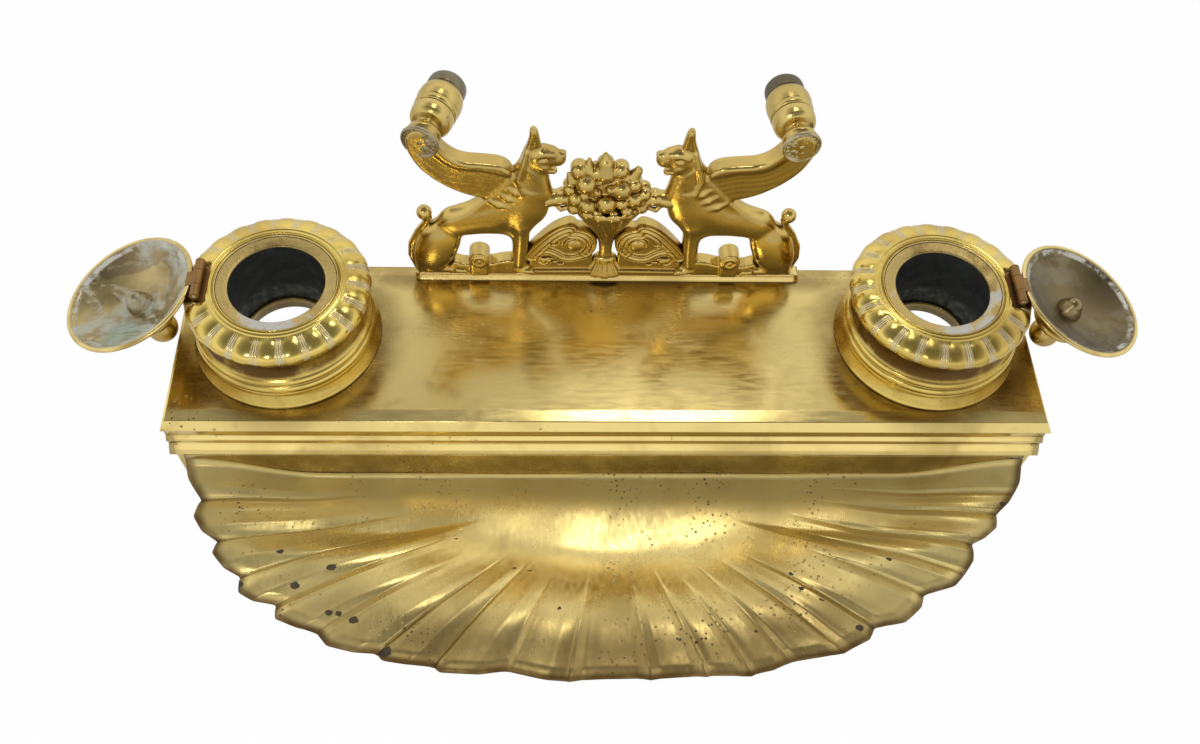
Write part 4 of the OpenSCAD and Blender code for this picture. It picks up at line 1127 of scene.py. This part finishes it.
    # tail with its knob
    clay.limb([(75.4, 4.6, 0, 1.5), (77.4, 12, 0, 1.5), (76.9, 18.5, 0, 1.4), (74, 25.5, 0, 1.35),
               (70.6, 30.6, 0, 1.5), (69.6, 34, 0, 1.8)], blend=0.5)
    clay.ball((70.8, 36.6, 0), 3.0, 0.8)
    # boss behind the rosette
    clay.egg((68.4, 77.2, 0), (6.6, 6.6, 2.6), blend=1.2)
    clay.cut_below(CLAY_FLOOR)
    return clay


def scroll_clay():
    """Big volute, the banded sweep out to the foreleg, and the small volute below."""
    clay = Clay((1.5, 2.2, 0), (32.5, 36.5, 5.2))
    u, v = clay.flat()
    big, small = (12.6, 20.6), (24.4, 11.6)
    turns = [(big[0] + r * math.cos(math.radians(a)) * 0.96, big[1] + r * math.sin(math.radians(a)))
             for a, r in zip(range(-60, 60 - 361, -20), np.linspace(5.9, 8.0, 22))]
    sweep = softened(turns[4:-1] + [(14.5, 29.8), (19.5, 26.8), (24.8, 20.6), (29.6, 13.6)],
                     3, closed=False)
    low_band = softened([(8.0, 14.3), (12.6, 12.4), (17.0, 12.6), (20.2, 15.0), (23.8, 16.6),
                         (27.2, 14.4), (27.0, 10.4), (24.0, 9.2), (22.4, 11.4)], 4, closed=False)
    main = line_gap(u, v, sweep)
    side_band = line_gap(u, v, low_band)
    boss = np.hypot(u - big[0], v - big[1])
    ridges = 0.42 * np.cos(main * 2 * math.pi / 2.1)
    clay.plate(main - 2.9, 3.1 + ridges * (main < 2.9), edge=1.5, blend=0.4)
    clay.plate(side_band - 1.9, 3.1 + 0.35 * np.cos(side_band * 2 * math.pi / 1.9), edge=0.8,
               blend=0.4)
    clay.plate(boss - 8.0, 1.7, edge=0.4, blend=0.4)
    clay.plate(boss - 4.2, 3.3 + 0.6 * np.clip(1 - (boss / 3.2) ** 2, 0, 1)
               - 0.6 * np.exp(-((boss - 3.2) / 0.35) ** 2), edge=1.1, blend=0.3)
    clay.plate(np.hypot(u - small[0], v - small[1]) - 1.6, 3.5, edge=1.1, blend=0.3)
    back = outline_gap(u, v, np.array([(5, 2), (30.5, 2), (30.5, 16), (24, 20), (14, 24), (5, 20)]))
    clay.plate(back, 1.6, edge=0.4, blend=0.4)
    for place, radius in (((20.6, 21.2), 1.5), ((20.3, 10.6), 1.3), ((17.9, 8.6), 0.9)):
        hole = np.hypot(u - place[0], v - place[1]) - radius
        clay.plate(hole, 8, edge=0.2, blend=0.3, carve=True)
    clay.plate(outline_gap(u, v, np.array([(5, 2), (31, 2), (31, 5.2), (5, 5.6)])), 3.2, edge=0.5,
               blend=0.6)
    clay.cut_below(CLAY_FLOOR)
    clay.field = np.maximum(clay.field, 2.3 - clay.axes[0])
    return clay


def under_clay():
    """Low panel between the legs and the round end of a scroll lying front to back."""
    clay = Clay((35.5, 2.2, 0), (62.5, 18, 5.4))
    u, v = clay.flat()
    clay.plate(outline_gap(u, v, softened([(36, 2), (36, 10), (41, 10.4), (46, 9), (56, 8.2),
                                           (61, 9.5), (62, 2)])), 3.0, edge=0.7, blend=0.4)
    roll_u, roll_v = 50.4, 11.4
    roll = np.hypot(u - roll_u, v - roll_v)
    clay.plate(roll - 4.2, 4.0 + 0.3 * np.cos(roll * 2 * math.pi / 2.4), edge=0.6, blend=0.4)
    clay.plate(np.maximum(np.abs(u - roll_u) - 3.6, v - 11), 3.9, edge=0.5, blend=0.4)
    clay.cut_below(CLAY_FLOOR)
    return clay


# Fruit on the front face: u, v, w of the middle, and the radius
FRUIT = [(-8.8, 56, 2.6, 4.1), (4.6, 54, 3.4, 3.9), (-1, 47.2, 3.8, 4.2), (-7.9, 45.2, 3.4, 3.5),
         (4.9, 46.6, 3.6, 2.6), (0.3, 54.6, 4.2, 2.0), (-4.6, 53, 4.2, 1.7), (-12.8, 47.6, 2.2, 3.1),
         (-15, 51.8, 1.4, 2.6), (-11.6, 61.4, 0.8, 3.4), (-5.4, 60.4, 1.4, 2.8), (9.6, 48.4, 3, 3.3),
         (6.9, 42.6, 3.6, 2.6), (12.6, 43.6, 2.4, 2.8), (-13.3, 42.6, 2.4, 2.7), (13.4, 50, 1.8, 2.7),
         (4.0, 61.6, 0.8, 3.2), (1.9, 41.5, 4.4, 2.0), (-4.2, 41.4, 4.2, 2.2), (9.4, 54.6, 1.4, 3.0),
         (-9.4, 50.6, 3.6, 2.0), (12.4, 47, 3.2, 1.4), (-3.8, 57.6, 3.2, 1.4), (7.2, 50.4, 4.4, 1.3)]


def fruit_clay():
    """Heap of fruit with a pear on top, leaf tips, and the links to the beasts' chests."""
    clay = Clay((-24.5, 36, 0), (24.5, 73.5, 8.8))
    clay.egg((0, 50, 0), (13.2, 11.5, 3.6), blend=0.5)
    for u, v, w, radius in FRUIT:
        clay.ball((u, v, w), radius, 0.35)
    clay.limb([(-1.8, 60.8, 0.6, 4.4), (-1.9, 64.6, 0.3, 3.2), (-2.1, 69.2, 0, 0.9)], blend=0.6)
    clay.limb([(-8.2, 61.5, 0.4, 2.6), (-8.0, 66.4, 0, 0.8)], blend=0.4)
    clay.limb([(8.6, 57.4, 0.6, 2.6), (10.4, 60.6, 0.3, 1.8), (10.2, 62.6, 0, 0.7)], flat=1.4,
              blend=0.4)
    clay.limb([(-14, 55, 0.4, 2.4), (-15.4, 58.6, 0, 1.0)], flat=1.4, blend=0.4)
    for turn in range(5):
        angle = math.radians(205 + 32 * turn)
        clay.limb([(13.2 * math.cos(angle) * 0.6, 46 + 8 * math.sin(angle), 2.4, 1.2),
                   (13.2 * math.cos(angle), 48 + 8.4 * math.sin(angle), 2.2, 0.9)], blend=0.4)
    for side in (-1, 1):
        clay.limb([(side * 12, 45.6, 0.5, 3.4), (side * 16.6, 46.2, 0, 2.6),
                   (side * 23.4, 45.4, 0, 3.4)], flat=0.85, blend=0.8)
        clay.ball((side * 17.6, 46.6, 1.2), 2.7, 0.6)
        clay.limb([(side * 14.5, 43.2, 2.2, 0.8), (side * 18.2, 42.0, 2.6, 1.1),
                   (side * 20.6, 44.4, 2.2, 0.7)], blend=0.4)
    return clay


def add_basket():
    """Stem of the basket with twisted flutes, on a foot of pointed leaves."""
    stem = eased([(2.6, RAIL_H - 0.2), (3.4, 9), (2.7, 14), (3.0, 20), (4.4, 26), (7.2, 31.5),
                  (10.2, 37), (12.0, 40.6), (11.4, 41.6), (5.0, 41.9)], 2.0, 5)
    stem = softened(stem[::2], 3, closed=False)
    foot = softened([(8.0, RAIL_H - 0.2), (8.2, 4.2), (6.8, 6.6), (5.0, 9.4), (4.6, 11.6),
                     (3.0, 12.6), (2.0, 12.4)], 6, closed=False)

    def flute(angles, rows):
        radius, height = stem[rows, 0], stem[rows, 1]
        return (0.13 * radius * smooth_step(height, 18, 28)
                * np.abs(np.sin(6 * angles + height * 0.16)) - 0.2)

    def leaf(angles, rows):
        return (0.9 * np.abs(np.sin(5 * angles)) ** 0.6 - 0.7
                + 0.16 * np.cos(30 * angles)) * smooth_step(11.8 - foot[rows, 1], -0.6, 2.5)

    for name, line, count, swell, squeeze, nodes in (
            ("basket_stem", stem, 144, flute, 0.58, ("basket",)),
            ("basket_foot", foot, 180, leaf, 0.62, ())):
        points, faces = spun(line, count, swell)
        points[:, 1] *= squeeze
        piece(name, points + np.array([CREST_X, CREST_Y, DECK_TOP]), faces, CREST,
              stands_for=nodes)


def add_rail():
    """Crest rail: a steep face under a rounded top edge, on a low foot."""
    half = (RAIL_HIGH[1] - RAIL_LOW[1]) / 2
    line = [(half, 0), (half, 0.5), (half - 0.3, 0.7), (half - 1.2, 2.3), (half - 1.15, 2.6),
            (half - 1.5, RAIL_H), (1.0, RAIL_H - 0.1)]
    line = eased(line, 0.25, 3)
    loop = np.vstack([line, line[::-1] * [-1, 1]])
    xs = np.linspace(RAIL_LOW[0], RAIL_HIGH[0], 81)
    trim = np.where((xs == xs[0]) | (xs == xs[-1]), 0.35, 0.0)
    wave = 0.07 * np.sin(xs / 9.0) + 0.05 * np.sin(xs / 3.7 + 1)
    points = [(x, CREST_Y - w * (1 - t / 4), DECK_TOP + (max(v + b - t, 0) if v > 1 else v))
              for x, t, b in zip(xs, trim, wave) for w, v in loop]
    piece("crest_rail_moulded", points, bar_faces(len(xs), len(loop)), RAIL,
          stands_for=("crest_rail",))


TIP_U, TIP_V = 68.4, 77.2     # the rosettes, from the crest's middle and the deck's top
TIP_CANT = {-1: math.radians(17.0), 1: math.radians(7.0)}      # the left one is bent further in
BOSS_T = 4.5


def tip_frame(side):
    """Local Z runs back along a spindle from the middle of the wing tip's boss."""
    sin, cos = side * math.sin(TIP_CANT[side]), math.cos(TIP_CANT[side])
    return Matrix(((cos, 0, -sin, CREST_X + side * TIP_U), (sin, 0, cos, CREST_Y),
                   (0, -1, 0, DECK_TOP + TIP_V), (0, 0, 0, 1)))


def rosette_height(r, angle):
    """Relief of the round flower: raised rim, a ring of beads, five petals and a knob."""
    rim = 0.75 * np.exp(-((r - 6.75) / 0.42) ** 2)
    beads = 0.34 * smooth_step(np.cos(18 * angle), 0.0, 0.8) * np.exp(-((r - 5.35) / 0.36) ** 2)
    petal = np.clip(np.cos(5 * angle / 2 + 0.4) ** 2 * 1.25 - 0.18, 0, 1) ** 0.6
    curl = 0.55 * petal * np.exp(-((r - 3.2) / 1.15) ** 2)
    vein = -0.22 * np.exp(-((petal - 1) / 0.08) ** 2) * np.exp(-((r - 3.1) / 0.9) ** 2)
    knob = 0.7 * np.clip(1 - (r / 1.25) ** 2, 0, 1) ** 0.5
    return rim + beads + curl + vein + knob


def add_tips():
    """A flower rosette in front of each wing tip and a turned spindle end behind it."""
    radii = np.concatenate([np.linspace(0.02, 7.0, 34), [7.2, 7.3, 7.3, 7.1, 6.6]])
    around = np.linspace(0, 2 * math.pi, 108, endpoint=False)
    r, angle = np.meshgrid(radii, around, indexing="ij")
    face = BOSS_T / 2 + 0.9 + 1.2 * rosette_height(r, angle)
    for row, back in ((-4, 0.9), (-3, 0.5), (-2, 0.1), (-1, 0.0)):
        face[row] = BOSS_T / 2 + back
    flower = np.stack([r * np.cos(angle), r * np.sin(angle), -face], axis=2).reshape(-1, 3)
    flower_faces = sheet_faces(len(radii), len(around), wrap_cols=True)
    neck = [(2.0, 2.0), (3.9, 2.0), (3.9, 4.9), (4.6, 5.3), (6.5, 5.8), (7.7, 7.2), (8.1, 9.4),
            (8.0, 11.6), (7.4, 12.0)]
    barrel = [(7.2, 12.0), (7.9, 12.2), (8.3, 12.9), (8.3, 14.0), (8.05, 14.4), (8.3, 15.0),
              (8.6, 17.4), (8.4, 20.2), (7.7, 22.0), (6.9, 22.4)]
    cap = [(6.8, 22.2), (7.5, 22.8), (7.5, 26.0), (7.2, 27.6), (5.8, 29.3), (3.0, 30.2), (0.02, 30.5)]
    for name, side in SIDES:
        move = tip_frame(side)
        piece("rosette_flower_" + name, placed(flower, move), flower_faces, ROSETTE,
              stands_for=("rosette_" + name,))
        for part, line, paint, slot in (("cup", neck, SPINDLE, "spindle_brass"),
                                        ("barrel", barrel, SPINDLE, "spindle_brass"),
                                        ("cap", cap, CAP, "dark_brass")):
            points, faces = spun(eased(line, 0.5, 4), 80)
            piece("spindle_" + part + "_turned_" + name, placed(points, move), faces, paint,
                  stands_for=("spindle_" + part + "_" + name,))


def add_crest():
    """Rail, wing tips, the mirrored beasts and scrolls, the fruit and its basket."""
    add_rail()
    add_tips()
    for make, name, nodes in ((griffin_clay, "griffin_carved_", "griffin_"),
                              (scroll_clay, "scroll_carved_", "scroll_"),
                              (under_clay, "under_scroll_carved_", "under_scroll_")):
        clay = make()
        for end, side in SIDES:
            clay.finish(name + end, side, CREST, (nodes + end,))
    fruit_clay().finish("fruit_heap", 1, CREST, ("fruit",))
    add_basket()


# ------------------------------------------------------------------ stage
FLOOR = 3.0              # half the floor's width, in metres
# The tent's light: place on a ramp from level at 0 to overhead at 1, and brightness there
TENT = ((0.0, 0.9), (0.45, 1.15), (0.62, 1.10), (0.71, 0.70), (0.80, 0.46), (0.90, 0.27),
        (1.0, 0.22))
TENT_TILT = -0.14        # leans the ramp in Y
LAMP_AIM = (0, 0, 0.04)


def add_stage():
    """Pale floor, a light tent bright at its walls and darker overhead, and two soft lamps."""
    mesh = bpy.data.meshes.new("floor")
    mesh.from_pydata([(x * FLOOR, y * FLOOR, 0) for x, y in ((-1, -1), (1, -1), (1, 1), (-1, 1))],
                     [], [(0, 1, 2, 3)])
    floor = bpy.data.objects.new("floor", mesh)
    bpy.context.scene.collection.objects.link(floor)
    p = Paint("floor_paper")
    seen = p.node("LightPath")
    glow = p.node("Emission")
    glow.inputs["Color"].default_value = (1, 1, 1, 1)
    glow.inputs["Strength"].default_value = 1.0
    paper = p.node("BsdfDiffuse")
    paper.inputs["Color"].default_value = (0.9, 0.9, 0.9, 1)
    share = p.most(p.times(seen.outputs["Is Camera Ray"], 0.975),
                   p.times(seen.outputs["Is Glossy Ray"], 0.4))
    both = p.node("MixShader")
    for socket, value in zip(both.inputs, (share, paper.outputs[0], glow.outputs[0])):
        p.put(socket, value)
    p.put(p.node("OutputMaterial").inputs["Surface"], both.outputs[0])
    mesh.materials.append(p.material)

    world = bpy.data.worlds.new("tent")
    bpy.context.scene.world = world
    world.use_nodes = True
    tent = Nodes(world.node_tree)
    split = tent.node("SeparateXYZ")
    tent.put(split.inputs[0], tent.coordinates.outputs["Generated"])
    tilt = tent.node("Math", operation="MULTIPLY_ADD")
    for socket, value in zip(tilt.inputs, (split.outputs["Y"], TENT_TILT, split.outputs["Z"])):
        tent.put(socket, value)
    ramp = tent.node("ValToRGB")
    tent.put(ramp.inputs[0], tilt.outputs[0])
    ramp.color_ramp.elements[0].position = TENT[0][0]
    ramp.color_ramp.elements[1].position = TENT[-1][0]
    for at, _ in TENT[1:-1]:
        ramp.color_ramp.elements.new(at)
    for element, (_, level) in zip(ramp.color_ramp.elements, TENT):
        element.color = (level, level, level, 1)
    seen = tent.node("LightPath").outputs["Is Camera Ray"]
    back = tent.node("Background")
    tent.put(back.inputs["Color"], tent.blend(seen, ramp.outputs["Color"], (1, 1, 1)))
    tent.put(tent.node("OutputWorld").inputs["Surface"], back.outputs[0])

    lamp("lamp_above", at=(0.106, 0.377, 0.957), size=0.22, power=0.8)
    lamp("lamp_beside_camera", at=(-0.22, -0.40, 0.62), size=0.07, power=0.45)


def lamp(name, at, size, power):
    """A square lamp that shines at the object."""
    data = bpy.data.lights.new(name, "AREA")
    data.size = size
    data.energy = power
    obj = bpy.data.objects.new(name, data)
    obj.location = at
    obj.rotation_euler = (Vector(LAMP_AIM) - Vector(at)).to_track_quat("-Z", "Y").to_euler()
    bpy.context.scene.collection.objects.link(obj)


add_deck()
add_front()
add_end_plates()
add_tray()
for NAME, SIDE in SIDES:
    add_pot(NAME, SIDE)
    add_lid(NAME, SIDE)
    keep("hinge_leaf_" + NAME, COPPER)
    keep("lid_knuckle_" + NAME, COPPER)
    keep("hinge_pin_" + NAME, STEEL)
for NODE in ("tray_screws", "pot_screws", "crest_screws"):
    keep(NODE, STEEL)
for NODE in ("front_wall", "back_wall"):
    keep(NODE, PLAIN)
add_crest()
add_stage()
bpy.context.scene.view_settings.view_transform = "Standard"
